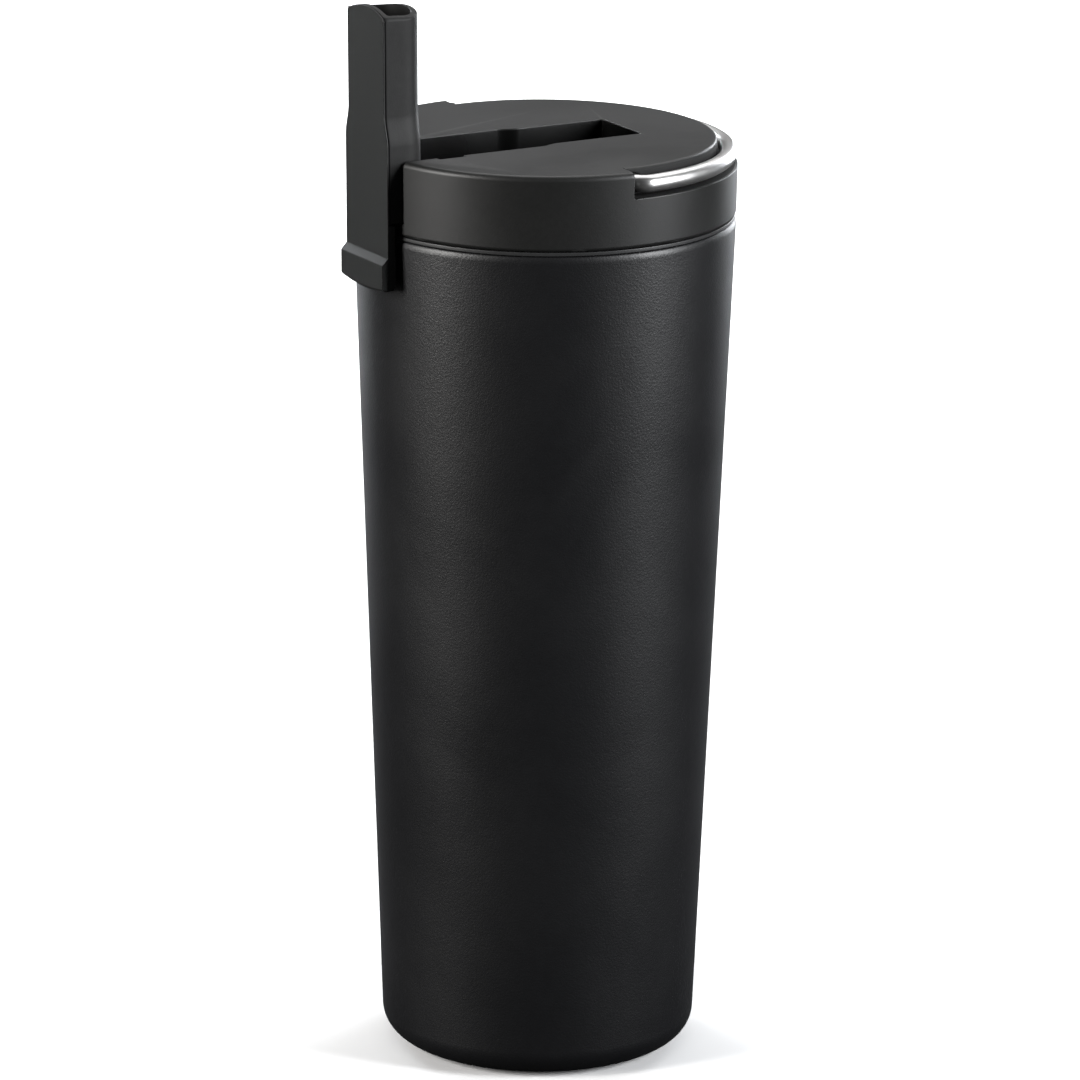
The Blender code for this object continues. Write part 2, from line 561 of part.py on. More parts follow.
def build_spout_tube(material):
    """D-shaped drinking tube with its pivot barrel and trunnions, bored right through."""
    def level(z):
        return lambda x, y: z

    def mouth(x, y):
        back = (x - FACE_X) / (BELLY_X - FACE_X)
        return TIP_Z + TIP_CROWN * (1.0 - (y / COVER_NARROW) ** 2) - MOUTH_DROP * back * back

    heights = [TUBE_BOTTOM_Z] + blend_levels()
    widths = [lever_half_width(z) - TUBE_INSET for z in heights]
    tip_width = COVER_NARROW - TUBE_INSET
    sections = [tube_section(w, 0.0, level(z)) for z, w in zip(heights, widths)]
    sections += [tube_section(tip_width, 0.0, mouth), tube_section(tip_width, TUBE_WALL, mouth)]
    sections += [tube_section(w, TUBE_WALL, level(z)) for z, w in list(zip(heights, widths))[:0:-1]]
    sections += [tube_section(widths[0], TUBE_WALL, level(BORE_BOTTOM_Z))]
    tube = lofted("spout_tube", sections, material)

    barrel = rod("barrel", (PIVOT_X, -BARREL_HALF, PIVOT_Z), (PIVOT_X, BARREL_HALF, PIVOT_Z),
                 BARREL_RADIUS, 32)
    trunnions = rod("trunnions", (PIVOT_X, -TRUNNION_HALF, PIVOT_Z), (PIVOT_X, TRUNNION_HALF, PIVOT_Z),
                    TRUNNION_RADIUS, 24)
    web_outline = [(PIVOT_X + x, PIVOT_Z + z) for x, z in WEB]
    join(tube, barrel, trunnions, prism_along_y("web", web_outline, WEB_HALF))
    elbow = (PIVOT_X + BORE_ELBOW[0], 0.0, PIVOT_Z + BORE_ELBOW[1])
    cut(tube,
        rod("elbow_bore_cutter", elbow, (PIVOT_X, 0.0, PIVOT_Z), PORT_RADIUS, 16),
        rod("port_bore_cutter", (PIVOT_X, 0.0, PIVOT_Z + 0.5), (PIVOT_X, 0.0, PIVOT_Z - 8.0),
            PORT_RADIUS, 16))
    return lean_lever(tube)


# ------------------------------------------------------------ carry loop

def build_carry_loop():
    """Round rod bent into a half ring, its ends turned in to form the two pivots."""
    material = make_material("loop_steel", (0.66, 0.66, 0.65), 0.22, 1.0)
    bend_y = LOOP_RADIUS - LOOP_BEND
    join_angle = math.degrees(math.asin((LOOP_PIVOT_X + LOOP_BEND) / LOOP_RADIUS))
    half = [(LOOP_PIVOT_X, LOOP_END_Y), (LOOP_PIVOT_X, bend_y - 0.9)]
    half += arc((LOOP_PIVOT_X + LOOP_BEND, bend_y), LOOP_BEND, 180, 100, 5)
    half += arc((0, 0), LOOP_RADIUS, 90 - join_angle - 1.5, 0, 14)
    path = half + [(x, -y) for x, y in reversed(half[:-1])]
    sections = []
    for i, (x, y) in enumerate(path):
        before, after = path[max(i - 1, 0)], path[min(i + 1, len(path) - 1)]
        tangent = Vector((after[0] - before[0], after[1] - before[1], 0.0)).normalized()
        side = tangent.cross(Vector((0, 0, 1)))
        ring = arc((0, 0), LOOP_ROD, 0, 330, 11)
        sections.append([(x + side.x * u, y + side.y * u, LOOP_Z + v) for u, v in ring])
    return lofted("carry_loop", sections, material)


def put_origin(obj, point):
    """Move an object's origin to a joint axis without moving its mesh."""
    shift = Vector(point) * MM
    obj.data.transform(Matrix.Translation(-shift))
    obj.location = shift


def main():
    clear_scene()
    lid_plastic = make_material("lid_plastic", (0.030, 0.031, 0.032), 0.5)
    plug_plastic = make_material("plug_plastic", (0.026, 0.027, 0.028), 0.45)
    cover_plastic = make_material("cover_plastic", (0.034, 0.036, 0.036), 0.48)
    tube_plastic = make_material("tube_plastic", (0.036, 0.036, 0.037), 0.58)
    silicone = make_material("silicone", (0.05, 0.05, 0.05), 0.7)

    build_outer_shell()
    build_inner_liner()
    build_base()
    build_lid_shell(lid_plastic)
    build_lid_plug(plug_plastic)
    build_lid_seals(silicone)
    build_straw()
    pivot = (PIVOT_X, 0.0, PIVOT_Z)
    put_origin(build_spout_cover(cover_plastic), pivot)
    put_origin(build_spout_tube(tube_plastic), pivot)
    put_origin(build_carry_loop(), (LOOP_PIVOT_X, 0.0, LOOP_Z))


main()
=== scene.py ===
"""Looks of the insulated travel mug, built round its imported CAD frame."""

import json
import math

import bmesh
import bpy
import numpy as np
from mathutils import Matrix, Vector


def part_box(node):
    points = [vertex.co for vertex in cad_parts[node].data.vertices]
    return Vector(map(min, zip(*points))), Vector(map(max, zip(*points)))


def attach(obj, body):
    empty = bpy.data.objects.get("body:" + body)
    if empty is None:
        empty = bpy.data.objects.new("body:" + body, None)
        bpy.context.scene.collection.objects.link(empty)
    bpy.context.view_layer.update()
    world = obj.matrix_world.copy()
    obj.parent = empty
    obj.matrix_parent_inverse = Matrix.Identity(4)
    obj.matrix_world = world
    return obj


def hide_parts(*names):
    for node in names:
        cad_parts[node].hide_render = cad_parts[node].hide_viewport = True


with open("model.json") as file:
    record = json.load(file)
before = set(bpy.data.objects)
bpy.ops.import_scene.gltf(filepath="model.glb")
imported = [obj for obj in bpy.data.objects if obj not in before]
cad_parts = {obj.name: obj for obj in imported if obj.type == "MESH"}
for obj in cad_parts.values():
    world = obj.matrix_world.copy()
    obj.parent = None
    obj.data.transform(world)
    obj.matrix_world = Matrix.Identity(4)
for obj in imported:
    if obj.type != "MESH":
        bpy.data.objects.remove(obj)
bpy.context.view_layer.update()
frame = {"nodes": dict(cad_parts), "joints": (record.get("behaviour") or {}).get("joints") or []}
mm = 0.001


# ---------------------------------------------------------------- outer shell
# The vessel's outside wall: one drawn and tapered stainless tube, rolled in at the foot, with a
# baked black powder coat whose fine orange-peel grain shows in the soft highlights.

def rounded(corners, steps=6):
    """Outline with each corner (x, y, fillet) replaced by an arc tangent to both of its sides.

    The arc's centre lies on the corner's bisector, at fillet / sin(half angle) from the corner.
    """
    points = []
    for i, (x, y, fillet) in enumerate(corners):
        here = np.array((x, y), float)
        if fillet <= 0:
            points.append(here[None])
            continue
        before = np.array(corners[i - 1][:2]) - here
        after = np.array(corners[(i + 1) % len(corners)][:2]) - here
        before, after = before / np.linalg.norm(before), after / np.linalg.norm(after)
        half = 0.5 * math.acos(float(np.clip(before @ after, -1, 1)))
        middle = (before + after) / np.linalg.norm(before + after)
        center = here + middle * fillet / math.sin(half)
        start = here + before * fillet / math.tan(half) - center
        end = here + after * fillet / math.tan(half) - center
        a0 = math.atan2(start[1], start[0])
        sweep = (math.atan2(end[1], end[0]) - a0 + math.pi) % math.tau - math.pi
        angles = a0 + sweep * np.linspace(0, 1, steps + 1)
        points.append(center + fillet * np.stack([np.cos(angles), np.sin(angles)], 1))
    return np.concatenate(points)


def solid(name, grid, wrap_rows=False, wrap_columns=True, caps=False, sharp=40):
    """Mesh over a grid of points in millimetres, closed by merging its seams, with faces outwards."""
    rows, columns = grid.shape[:2]
    index = np.arange(rows * columns).reshape(rows, columns)
    down = np.roll(index, -1, 0) if wrap_rows else index[1:]
    here = index if wrap_rows else index[:-1]
    if wrap_columns:
        quads = np.stack([here, np.roll(here, -1, 1), np.roll(down, -1, 1), down], -1)
    else:
        quads = np.stack([here[:, :-1], here[:, 1:], down[:, 1:], down[:, :-1]], -1)
    faces = quads.reshape(-1, 4).tolist()
    if caps:
        faces += [index[0].tolist(), index[-1][::-1].tolist()]
    mesh = bpy.data.meshes.new(name)
    mesh.from_pydata((grid.reshape(-1, 3) * mm).tolist(), [], faces)
    tidy = bmesh.new()
    tidy.from_mesh(mesh)
    bmesh.ops.remove_doubles(tidy, verts=tidy.verts, dist=1e-6)
    bmesh.ops.dissolve_degenerate(tidy, edges=tidy.edges, dist=1e-7)
    bmesh.ops.recalc_face_normals(tidy, faces=tidy.faces)
    tidy.to_mesh(mesh)
    tidy.free()
    mesh.shade_smooth()
    mesh.set_sharp_from_angle(angle=math.radians(sharp))
    piece = bpy.data.objects.new(name, mesh)
    bpy.context.scene.collection.objects.link(piece)
    return piece


def turned(name, outline, segments=256, center=(0.0, 0.0), sharp=40):
    """Surface of revolution: each (radius, height) point of a closed outline swept round a vertical axis.

    An outline that begins and ends at radius zero is left open there, and its poles are merged.
    """
    outline = np.asarray(outline, float)
    angles = math.tau * np.arange(segments) / segments
    r, z = outline[:, :1], outline[:, 1:]
    grid = np.stack([center[0] + r * np.cos(angles), center[1] + r * np.sin(angles),
                     z + 0 * angles], -1)
    return solid(name, grid, wrap_rows=outline[0, 0] > 0, sharp=sharp)


def nodes_of(name):
    """New material with an empty tree but for its Principled shader and output."""
    material = bpy.data.materials.new(name)
    material.use_nodes = True
    tree = material.node_tree
    return material, tree, tree.nodes["Principled BSDF"]


def group(name, inputs, outputs):
    """Empty shader node group with named sockets; inputs are (name, type, default)."""
    tree = bpy.data.node_groups.new(name, "ShaderNodeTree")
    for label, kind, default in inputs:
        socket = tree.interface.new_socket(label, in_out="INPUT", socket_type=kind)
        socket.default_value = default
    for label, kind in outputs:
        tree.interface.new_socket(label, in_out="OUTPUT", socket_type=kind)
    return tree, tree.nodes.new("NodeGroupInput"), tree.nodes.new("NodeGroupOutput")


def wire(tree, *links):
    """Links from (node, socket) to (node, socket)."""
    for (source, out), (target, into) in links:
        tree.links.new(source.outputs[out], target.inputs[into])


def add(tree, kind, **values):
    """Node of a kind; values set its properties, or its sockets where the name is one."""
    node = tree.nodes.new(kind)
    for key, value in values.items():
        if hasattr(node, key):
            setattr(node, key, value)
        else:
            node.inputs[key.replace("_", " ")].default_value = value
    return node


def make_grain_group():
    """Moulded or sprayed grain: two sizes of noise added, plus a sparse scatter of raised specks.

    Height = fine noise + 0.45 x coarse noise + specks; Mottle is the coarse noise alone.
    """
    tree, given, out = group(
        "surface_grain",
        [("Grain size mm", "NodeSocketFloat", 0.4), ("Specks", "NodeSocketFloat", 0.2)],
        [("Height", "NodeSocketFloat"), ("Mottle", "NodeSocketFloat")])
    place = add(tree, "ShaderNodeTexCoord")
    scale = add(tree, "ShaderNodeMath", operation="DIVIDE")
    scale.inputs[0].default_value = 1000.0
    fine = add(tree, "ShaderNodeTexNoise", Detail=2.0, Roughness=0.55)
    wide = add(tree, "ShaderNodeMath", operation="MULTIPLY")
    wide.inputs[1].default_value = 0.24
    coarse = add(tree, "ShaderNodeTexNoise", Detail=2.0, Roughness=0.5)
    cells = add(tree, "ShaderNodeTexVoronoi")
    cells.feature = "F1"
    few = add(tree, "ShaderNodeMath", operation="MULTIPLY")
    few.inputs[1].default_value = 0.35
    speck = add(tree, "ShaderNodeMapRange")
    for socket, value in zip((1, 2, 3, 4), (0.0, 0.16, 1.0, 0.0)):
        speck.inputs[socket].default_value = value
    speck_height = add(tree, "ShaderNodeMath", operation="MULTIPLY")
    coarse_height = add(tree, "ShaderNodeMath", operation="MULTIPLY_ADD")
    coarse_height.inputs[1].default_value = 0.45
    total = add(tree, "ShaderNodeMath", operation="ADD")
    wire(tree,
         ((given, "Grain size mm"), (scale, 1)), ((scale, 0), (wide, 0)), ((scale, 0), (few, 0)),
         ((place, "Object"), (fine, "Vector")), ((place, "Object"), (coarse, "Vector")),
         ((place, "Object"), (cells, "Vector")),
         ((scale, 0), (fine, "Scale")), ((wide, 0), (coarse, "Scale")), ((few, 0), (cells, "Scale")),
         ((cells, "Distance"), (speck, 0)), ((speck, 0), (speck_height, 0)),
         ((given, "Specks"), (speck_height, 1)),
         ((coarse, "Fac"), (coarse_height, 0)), ((fine, "Fac"), (coarse_height, 2)),
         ((coarse_height, 0), (total, 0)), ((speck_height, 0), (total, 1)),
         ((total, 0), (out, "Height")), ((coarse, "Fac"), (out, "Mottle")))
    return tree


def make_handling_group():
    """Handling: broad soft patches of polish from fingers, and light rubbing along convex edges.

    Polish is stretched noise squeezed between two levels; Wear is pointiness above an edge level,
    broken up by noise.
    """
    tree, given, out = group(
        "handling_marks",
        [("Patch size mm", "NodeSocketFloat", 40.0), ("Edge level", "NodeSocketFloat", 0.53)],
        [("Polish", "NodeSocketFloat"), ("Wear", "NodeSocketFloat")])
    place = add(tree, "ShaderNodeTexCoord")
    scale = add(tree, "ShaderNodeMath", operation="DIVIDE")
    scale.inputs[0].default_value = 1000.0
    patches = add(tree, "ShaderNodeTexNoise", Detail=3.0, Roughness=0.6, Distortion=0.4)
    squeeze = add(tree, "ShaderNodeMapRange")
    for socket, value in zip((1, 2), (0.38, 0.68)):
        squeeze.inputs[socket].default_value = value
    shape = add(tree, "ShaderNodeNewGeometry")
    edge = add(tree, "ShaderNodeMapRange")
    edge.inputs[2].default_value = 0.62
    broken = add(tree, "ShaderNodeTexNoise", Scale=900.0, Detail=3.0)
    product = add(tree, "ShaderNodeMath", operation="MULTIPLY")
    wire(tree,
         ((given, "Patch size mm"), (scale, 1)), ((scale, 0), (patches, "Scale")),
         ((place, "Object"), (patches, "Vector")), ((patches, "Fac"), (squeeze, 0)),
         ((squeeze, 0), (out, "Polish")),
         ((shape, "Pointiness"), (edge, 0)), ((given, "Edge level"), (edge, 1)),
         ((place, "Object"), (broken, "Vector")), ((edge, 0), (product, 0)),
         ((broken, "Fac"), (product, 1)), ((product, 0), (out, "Wear")))
    return tree


grain_group = make_grain_group()
handling_group = make_handling_group()


def coated(name, dark, light, worn, roughness, grain_mm, bump_mm, specks=0.2, specular=0.5, polish=0.08):
    """Black coated or moulded surface.

    Colour runs from dark to light with the grain's mottle and to the worn colour along edges.
    Roughness falls a little in the handled patches, and the grain stands bump_mm proud.
    """
    material, tree, shader = nodes_of(name)
    grain = add(tree, "ShaderNodeGroup", node_tree=grain_group)
    grain.inputs["Grain size mm"].default_value = grain_mm
    grain.inputs["Specks"].default_value = specks
    marks = add(tree, "ShaderNodeGroup", node_tree=handling_group)
    mottle = add(tree, "ShaderNodeMix", data_type="RGBA")
    mottle.inputs[6].default_value = (*dark, 1.0)
    mottle.inputs[7].default_value = (*light, 1.0)
    rubbed = add(tree, "ShaderNodeMix", data_type="RGBA")
    rubbed.inputs[7].default_value = (*worn, 1.0)
    rough = add(tree, "ShaderNodeMapRange")
    rough.inputs[3].default_value = roughness + 0.5 * polish
    rough.inputs[4].default_value = roughness - 0.5 * polish
    bump = add(tree, "ShaderNodeBump", Distance=bump_mm * mm, Strength=1.0)
    wire(tree,
         ((grain, "Mottle"), (mottle, 0)), ((mottle, 2), (rubbed, 6)), ((marks, "Wear"), (rubbed, 0)),
         ((rubbed, 2), (shader, "Base Color")), ((marks, "Polish"), (rough, 0)),
         ((rough, 0), (shader, "Roughness")), ((grain, "Height"), (bump, "Height")),
         ((bump, "Normal"), (shader, "Normal")))
    shader.inputs["Specular IOR Level"].default_value = specular
    return material


def dress(piece, material, slot, body, *replaced):
    """Give a piece its material and its body, and hide the CAD nodes it stands for; slot is not used."""
    piece.data.materials.append(material)
    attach(piece, body)
    if replaced:
        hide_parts(*replaced)
    return piece


shell_low, shell_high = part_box("outer_shell")
mouth_z = shell_high.z / mm
mouth_r = shell_high.x / mm
taper = 0.038
foot_z = shell_low.z / mm
shell_t = 0.8
foot_fillet, foot_opening = 6.3, 27.1
lip_bead = 0.06


def shell_radius(z):
    """Straight cone: the mouth's radius less the taper for each millimetre below the mouth."""
    return mouth_r - taper * (mouth_z - z)


lip_in, lip_drop = 0.6, 1.5
lip_turn = np.linspace(0, 0.5 * math.pi, 14)
shell_outline = np.concatenate([
    rounded([(mouth_r - lip_bead, mouth_z - lip_drop, 0), (shell_radius(foot_z), foot_z, foot_fillet),
             (foot_opening, foot_z, 0.15), (foot_opening, foot_z + shell_t, 0.15),
             (shell_radius(foot_z + shell_t) - shell_t, foot_z + shell_t, foot_fillet - shell_t),
             (mouth_r - shell_t, mouth_z, lip_bead), (mouth_r - lip_in, mouth_z, 0)], steps=12),
    np.stack([mouth_r - lip_in + (lip_in - lip_bead) * np.sin(lip_turn),
              mouth_z - lip_drop + lip_drop * np.cos(lip_turn)], 1)[1:-1]])
powder_coat = coated("powder_coat", (0.0034, 0.0035, 0.0042), (0.0056, 0.0058, 0.0068),
                     (0.03, 0.03, 0.031), roughness=0.42, grain_mm=0.42, bump_mm=0.046, specks=0.25,
                     specular=0.5)
dress(turned("vessel_shell", shell_outline, 288), powder_coat, "powder_coat", "vessel", "outer_shell")


# ---------------------------------------------------------------- inner liner
# The cup inside the vacuum gap: deep-drawn 18/8 stainless, electropolished, with a rolled thread in
# its straight neck for the lid's plug and an out-turned rim that is welded to the outer shell.

def steel(name, color, roughness, stretch, bump_mm, lines_mm=0.25, specular=0.5):
    """Bare steel: fine drawn lines from noise that is stretched by the given factors on each axis.

    The lines modulate roughness and colour a little and stand bump_mm proud; patches of handling
    polish lower the roughness.
    """
    material, tree, shader = nodes_of(name)
    place = add(tree, "ShaderNodeTexCoord")
    aim = add(tree, "ShaderNodeMapping")
    aim.inputs["Scale"].default_value = stretch
    lines = add(tree, "ShaderNodeTexNoise", Scale=1.0 / (lines_mm * mm), Detail=4.0, Roughness=0.65)
    marks = add(tree, "ShaderNodeGroup", node_tree=handling_group)
    marks.inputs["Patch size mm"].default_value = 18.0
    tone = add(tree, "ShaderNodeMix", data_type="RGBA")
    tone.inputs[6].default_value = (*[0.86 * c for c in color], 1.0)
    tone.inputs[7].default_value = (*color, 1.0)
    rough = add(tree, "ShaderNodeMapRange")
    rough.inputs[3].default_value = roughness - 0.05
    rough.inputs[4].default_value = roughness + 0.07
    softer = add(tree, "ShaderNodeMath", operation="MULTIPLY_ADD")
    softer.inputs[1].default_value = -0.06
    bump = add(tree, "ShaderNodeBump", Distance=bump_mm * mm)
    wire(tree,
         ((place, "Object"), (aim, "Vector")), ((aim, "Vector"), (lines, "Vector")),
         ((lines, "Fac"), (tone, 0)), ((tone, 2), (shader, "Base Color")),
         ((lines, "Fac"), (rough, 0)), ((marks, "Polish"), (softer, 0)), ((rough, 0), (softer, 2)),
         ((softer, 0), (shader, "Roughness")),
         ((lines, "Fac"), (bump, "Height")), ((bump, "Normal"), (shader, "Normal")))
    shader.inputs["Metallic"].default_value = 1.0
    shader.inputs["Specular IOR Level"].default_value = specular
    return material


wall_depth = 3.6
liner_t, liner_fillet = 0.7, 6.0
shoulder_drop = 3.0
neck_r = 37.6
neck_z = 166.5
floor_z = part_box("inner_liner")[0].z / mm + liner_t
rim_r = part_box("inner_liner")[1].x / mm


def neck_thread(radius, z, angle, depth=0.55, pitch=3.2, low=174.4, turns=2.2):
    """Groove rolled outwards in the neck: a smooth bell round one helix, faded out at its two ends.

    The distance to the helix is the height less the helix's height at this angle, wrapped to the
    nearest turn; the bell is the exponential of minus its square.
    """
    turn = np.clip(np.round((z - low) / pitch - angle / math.tau), 0, turns - 1)
    along = turn + angle / math.tau
    distance = z - low - pitch * along
    fade = np.clip(6 * along, 0, 1) * np.clip(6 * (turns - along), 0, 1)
    return radius + depth * fade * np.exp(-(distance / 0.75) ** 2)


liner_wall_top = shell_radius(neck_z - shoulder_drop) - wall_depth
liner_foot = shell_radius(floor_z) - wall_depth
neck_count = 56
neck_steps = np.linspace(mouth_z - 1.4, neck_z + 1.5, neck_count)
liner_inside = np.concatenate([
    [[0.0, floor_z], [12.0, floor_z]],
    rounded([(12.0, floor_z, 0), (liner_foot, floor_z, liner_fillet),
             (liner_wall_top, neck_z - shoulder_drop, 1.0),
             (neck_r, neck_z, 1.0), (neck_r, neck_z + 1.4, 0)], 10)[1:],
    np.stack([np.full(neck_count, neck_r), neck_steps[::-1]], 1)])
liner_outside = np.concatenate([
    rounded([(neck_r, mouth_z - 1.3, 0), (neck_r, mouth_z, 0.5), (rim_r, mouth_z, 0.3),
             (rim_r, mouth_z - 0.8, 0.1), (neck_r + liner_t, mouth_z - 0.8, 0.3),
             (neck_r + liner_t, mouth_z - 1.3, 0)], 4),
    np.stack([np.full(neck_count, neck_r + liner_t), neck_steps], 1),
    rounded([(neck_r + liner_t, neck_z + 1.4, 0), (neck_r + liner_t, neck_z - 0.3, 1.2),
             (liner_wall_top + liner_t, neck_z - shoulder_drop - 0.3, 1.0),
             (liner_foot + liner_t, floor_z - liner_t, liner_fillet + liner_t),
             (0.0, floor_z - liner_t, 0)], 10)])
liner_profile = np.concatenate([liner_inside, liner_outside])
liner_angles = math.tau * np.arange(256) / 256
liner_r, liner_z = liner_profile[:, :1], liner_profile[:, 1:] + 0 * liner_angles
in_neck = (liner_r > neck_r - 0.01) & (liner_r < neck_r + liner_t + 0.01) & (liner_z < mouth_z - 1.35)
liner_r = np.where(in_neck & (liner_z > neck_z + 1.45),
                   neck_thread(liner_r, liner_z, liner_angles), liner_r)
liner_grid = np.stack([liner_r * np.cos(liner_angles), liner_r * np.sin(liner_angles), liner_z], -1)
liner_steel = steel("liner_steel", (0.66, 0.655, 0.64), 0.30, (1.0, 1.0, 60.0), 0.004, lines_mm=9.0)
dress(solid("vessel_liner", liner_grid), liner_steel, "liner_steel", "vessel", "inner_liner")


# ---------------------------------------------------------------- base
# The pressed steel bottom with its evacuation dimple, the fused glass seal and the getter stay as
# the frame has them. Over them a moulded silicone disc is glued on, ringed for grip, to stand on.

base_steel = steel("base_steel", (0.58, 0.575, 0.56), 0.38, (1.0, 1.0, 20.0), 0.004, lines_mm=6.0)
seal_glass = coated("seal_glass", (0.16, 0.15, 0.13), (0.24, 0.225, 0.2), (0.3, 0.28, 0.25),
                    roughness=0.25, grain_mm=0.6, bump_mm=0.02)
getter_metal = coated("getter_metal", (0.2, 0.2, 0.205), (0.33, 0.33, 0.34), (0.4, 0.4, 0.4),
                      roughness=0.65, grain_mm=0.25, bump_mm=0.06, specks=0.5)
silicone = coated("silicone", (0.022, 0.022, 0.023), (0.032, 0.032, 0.033), (0.05, 0.05, 0.05),
                  roughness=0.68, grain_mm=0.18, bump_mm=0.010, specks=0.0, specular=0.35, polish=0.12)


def refinish(node, material):
    """Give a CAD node that is kept its new material."""
    slots = frame["nodes"][node].data.materials
    slots.clear()
    slots.append(material)


refinish("outer_base", base_steel)
refinish("vacuum_seal_bead", seal_glass)
refinish("getter_capsule", getter_metal)

_, pad_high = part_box("base_pad")
pad_r, pad_top = pad_high.x / mm, pad_high.z / mm
ring_pitch, ring_height = 3.2, 0.28
ring_r = np.linspace(0.0, pad_r - 0.8, 150)
ring_wave = np.clip(np.sin(math.tau * (ring_r - 9.0) / ring_pitch) * 2.2, 0, 1)
ring_depth = ring_height * ring_wave * (ring_r > 9.4) * (ring_r < 22.0)
pad_outline = np.concatenate([
    np.stack([ring_r, ring_depth], 1),
    rounded([(pad_r - 0.75, 0.0, 0), (pad_r, 0.0, 0.55), (pad_r, pad_top, 0.2),
             (pad_r - 0.6, pad_top, 0)], 5),
    [[0.0, pad_top]]])
dress(turned("grip_pad", pad_outline, 192), silicone, "silicone", "vessel", "base_pad")


# ---------------------------------------------------------------- lid shell
# The cap: injection-moulded black polypropylene with a spark-eroded finish. The lever's trough and
# its notch are moulded in, and half of the upper edge is set back as a drum for the carry loop.

def prism(name, outline, low, high):
    """Straight-sided solid between two heights over a plan outline of (x, y) points."""
    outline = np.asarray(outline, float)
    grid = np.stack([np.column_stack([outline, np.full(len(outline), z)]) for z in (low, high)])
    return solid(name, grid, caps=True)


def bar(name, start, end, radius, segments=48):
    """Round bar: a circle in the plane across the line from start to end, at both ends."""
    start, end = np.array(start, float), np.array(end, float)
    along = (end - start) / np.linalg.norm(end - start)
    across = np.cross(along, (0.0, 1.0, 0.0) if abs(along[1]) < 0.9 else (1.0, 0.0, 0.0))
    across /= np.linalg.norm(across)
    other = np.cross(along, across)
    angles = math.tau * np.arange(segments) / segments
    circle = radius * (np.cos(angles)[:, None] * across + np.sin(angles)[:, None] * other)
    return solid(name, np.stack([start + circle, end + circle]), caps=True)


def carve(piece, *steps):
    """Apply booleans in order, each (operation, tool), then remove the tools."""
    for operation, tool in steps:
        change = piece.modifiers.new(operation, "BOOLEAN")
        change.operation = operation
        change.solver = "EXACT"
        change.object = tool
    shaped = piece.evaluated_get(bpy.context.evaluated_depsgraph_get())
    result = bpy.data.meshes.new_from_object(shaped)
    piece.modifiers.clear()
    old = piece.data
    piece.data = result
    bpy.data.meshes.remove(old)
    for _, tool in steps:
        bpy.data.objects.remove(tool, do_unlink=True)
    weld = bmesh.new()
    weld.from_mesh(result)
    bmesh.ops.remove_doubles(weld, verts=weld.verts, dist=0.01 * mm)
    bmesh.ops.recalc_face_normals(weld, faces=weld.faces)
    weld.to_mesh(result)
    weld.free()
    return piece


def join_flats(piece, height):
    """Join the flat faces that look up at this height into one on each side of the middle."""
    mesh = bmesh.new()
    mesh.from_mesh(piece.data)
    for side in (-1, 1):
        flats = []
        for face in mesh.faces:
            center = face.calc_center_median()
            level = face.normal.z > 0.99999 and abs(center.z - height * mm) < 1e-6
            if level and side * center.y > 0:
                flats.append(face)
        bmesh.ops.dissolve_faces(mesh, faces=flats, use_verts=False)
    mesh.to_mesh(piece.data)
    mesh.free()


def soften(piece, width, segments=3, angle=38):
    """Round every edge sharper than the angle, and keep the flats flat with weighted normals."""
    edge = piece.modifiers.new("edge_round", "BEVEL")
    edge.width = width * mm
    edge.segments = segments
    edge.limit_method = "ANGLE"
    edge.angle_limit = math.radians(angle)
    edge.use_clamp_overlap = False
    edge.miter_outer = "MITER_ARC"
    flat = piece.modifiers.new("flat_normals", "WEIGHTED_NORMAL")
    flat.keep_sharp = True
    piece.data.shade_smooth()
    return piece


def ease(value, low, high):
    """Smooth S from 0 at low to 1 at high."""
    t = np.clip((value - low) / (high - low), 0, 1)
    return t * t * (3 - 2 * t)


pivots = {joint["name"]: np.array(joint.get("pos_m", (0, 0, 0)), float) / mm
          for joint in frame["joints"]}
pivot_x, _, pivot_z = pivots["spout_flip"]
loop_x, _, loop_z = pivots["loop_swing"]
lid_low, lid_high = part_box("lid_shell")
lid_top, lid_foot = lid_high.z / mm, lid_low.z / mm
lid_r, skirt_foot_r = 40.55, 40.3
lid_edge, lid_foot_round = 1.2, 0.8
plate_t = 2.0
drum_r, drum_wall, drum_round = 36.1, 1.7, 0.8
rebate_floor = lid_top - 5.5
rebate_end = -2.1
skirt_r = 38.5
slot_floor, slot_wall = lid_top - 11.0, 1.5
slot_wide, slot_narrow, slot_end = 9.35, 8.1, 18.5
slot_wide_x, slot_narrow_x = -6.5, -1.8
notch_floor = lid_top - 13.3
well_low_x, well_high_x = -34.6, -20.6
saddle_r, saddle_half, saddle_end, saddle_wall = 3.1, 10.55, -19.8, 1.6
plug_top = pivot_z - 0.4


def keel(end_x, half, radius):
    """Plan of a strip along the slot: square at +X, following a circle at -X."""
    swing = math.asin(half / radius)
    angles = np.linspace(math.pi - swing, math.pi + swing, 25)
    return np.concatenate([[[end_x, -half], [end_x, half]],
                           radius * np.stack([np.cos(angles), np.sin(angles)], 1)])


def slot_plan(reach):
    """Plan of the slot: narrow at +X, eased to wide at slot_wide_x, and on to reach."""
    x = np.concatenate([np.linspace(slot_narrow_x, slot_wide_x, 24), [reach]])
    y = slot_wide + (slot_narrow - slot_wide) * ease(x, slot_wide_x, slot_narrow_x)
    side = np.stack([x, y], 1)
    corner = rounded([(slot_end, 0.0, 0), (slot_end, slot_narrow, 0.6), (0.0, slot_narrow, 0)], 5)[1:-1]
    side = np.concatenate([corner, side])
    return np.concatenate([side, side[::-1] * (1, -1)])


def box_plan(low_x, high_x, half):
    """Plan of a rectangle that is the same on both sides of the X axis."""
    return [(low_x, -half), (high_x, -half), (high_x, half), (low_x, half)]


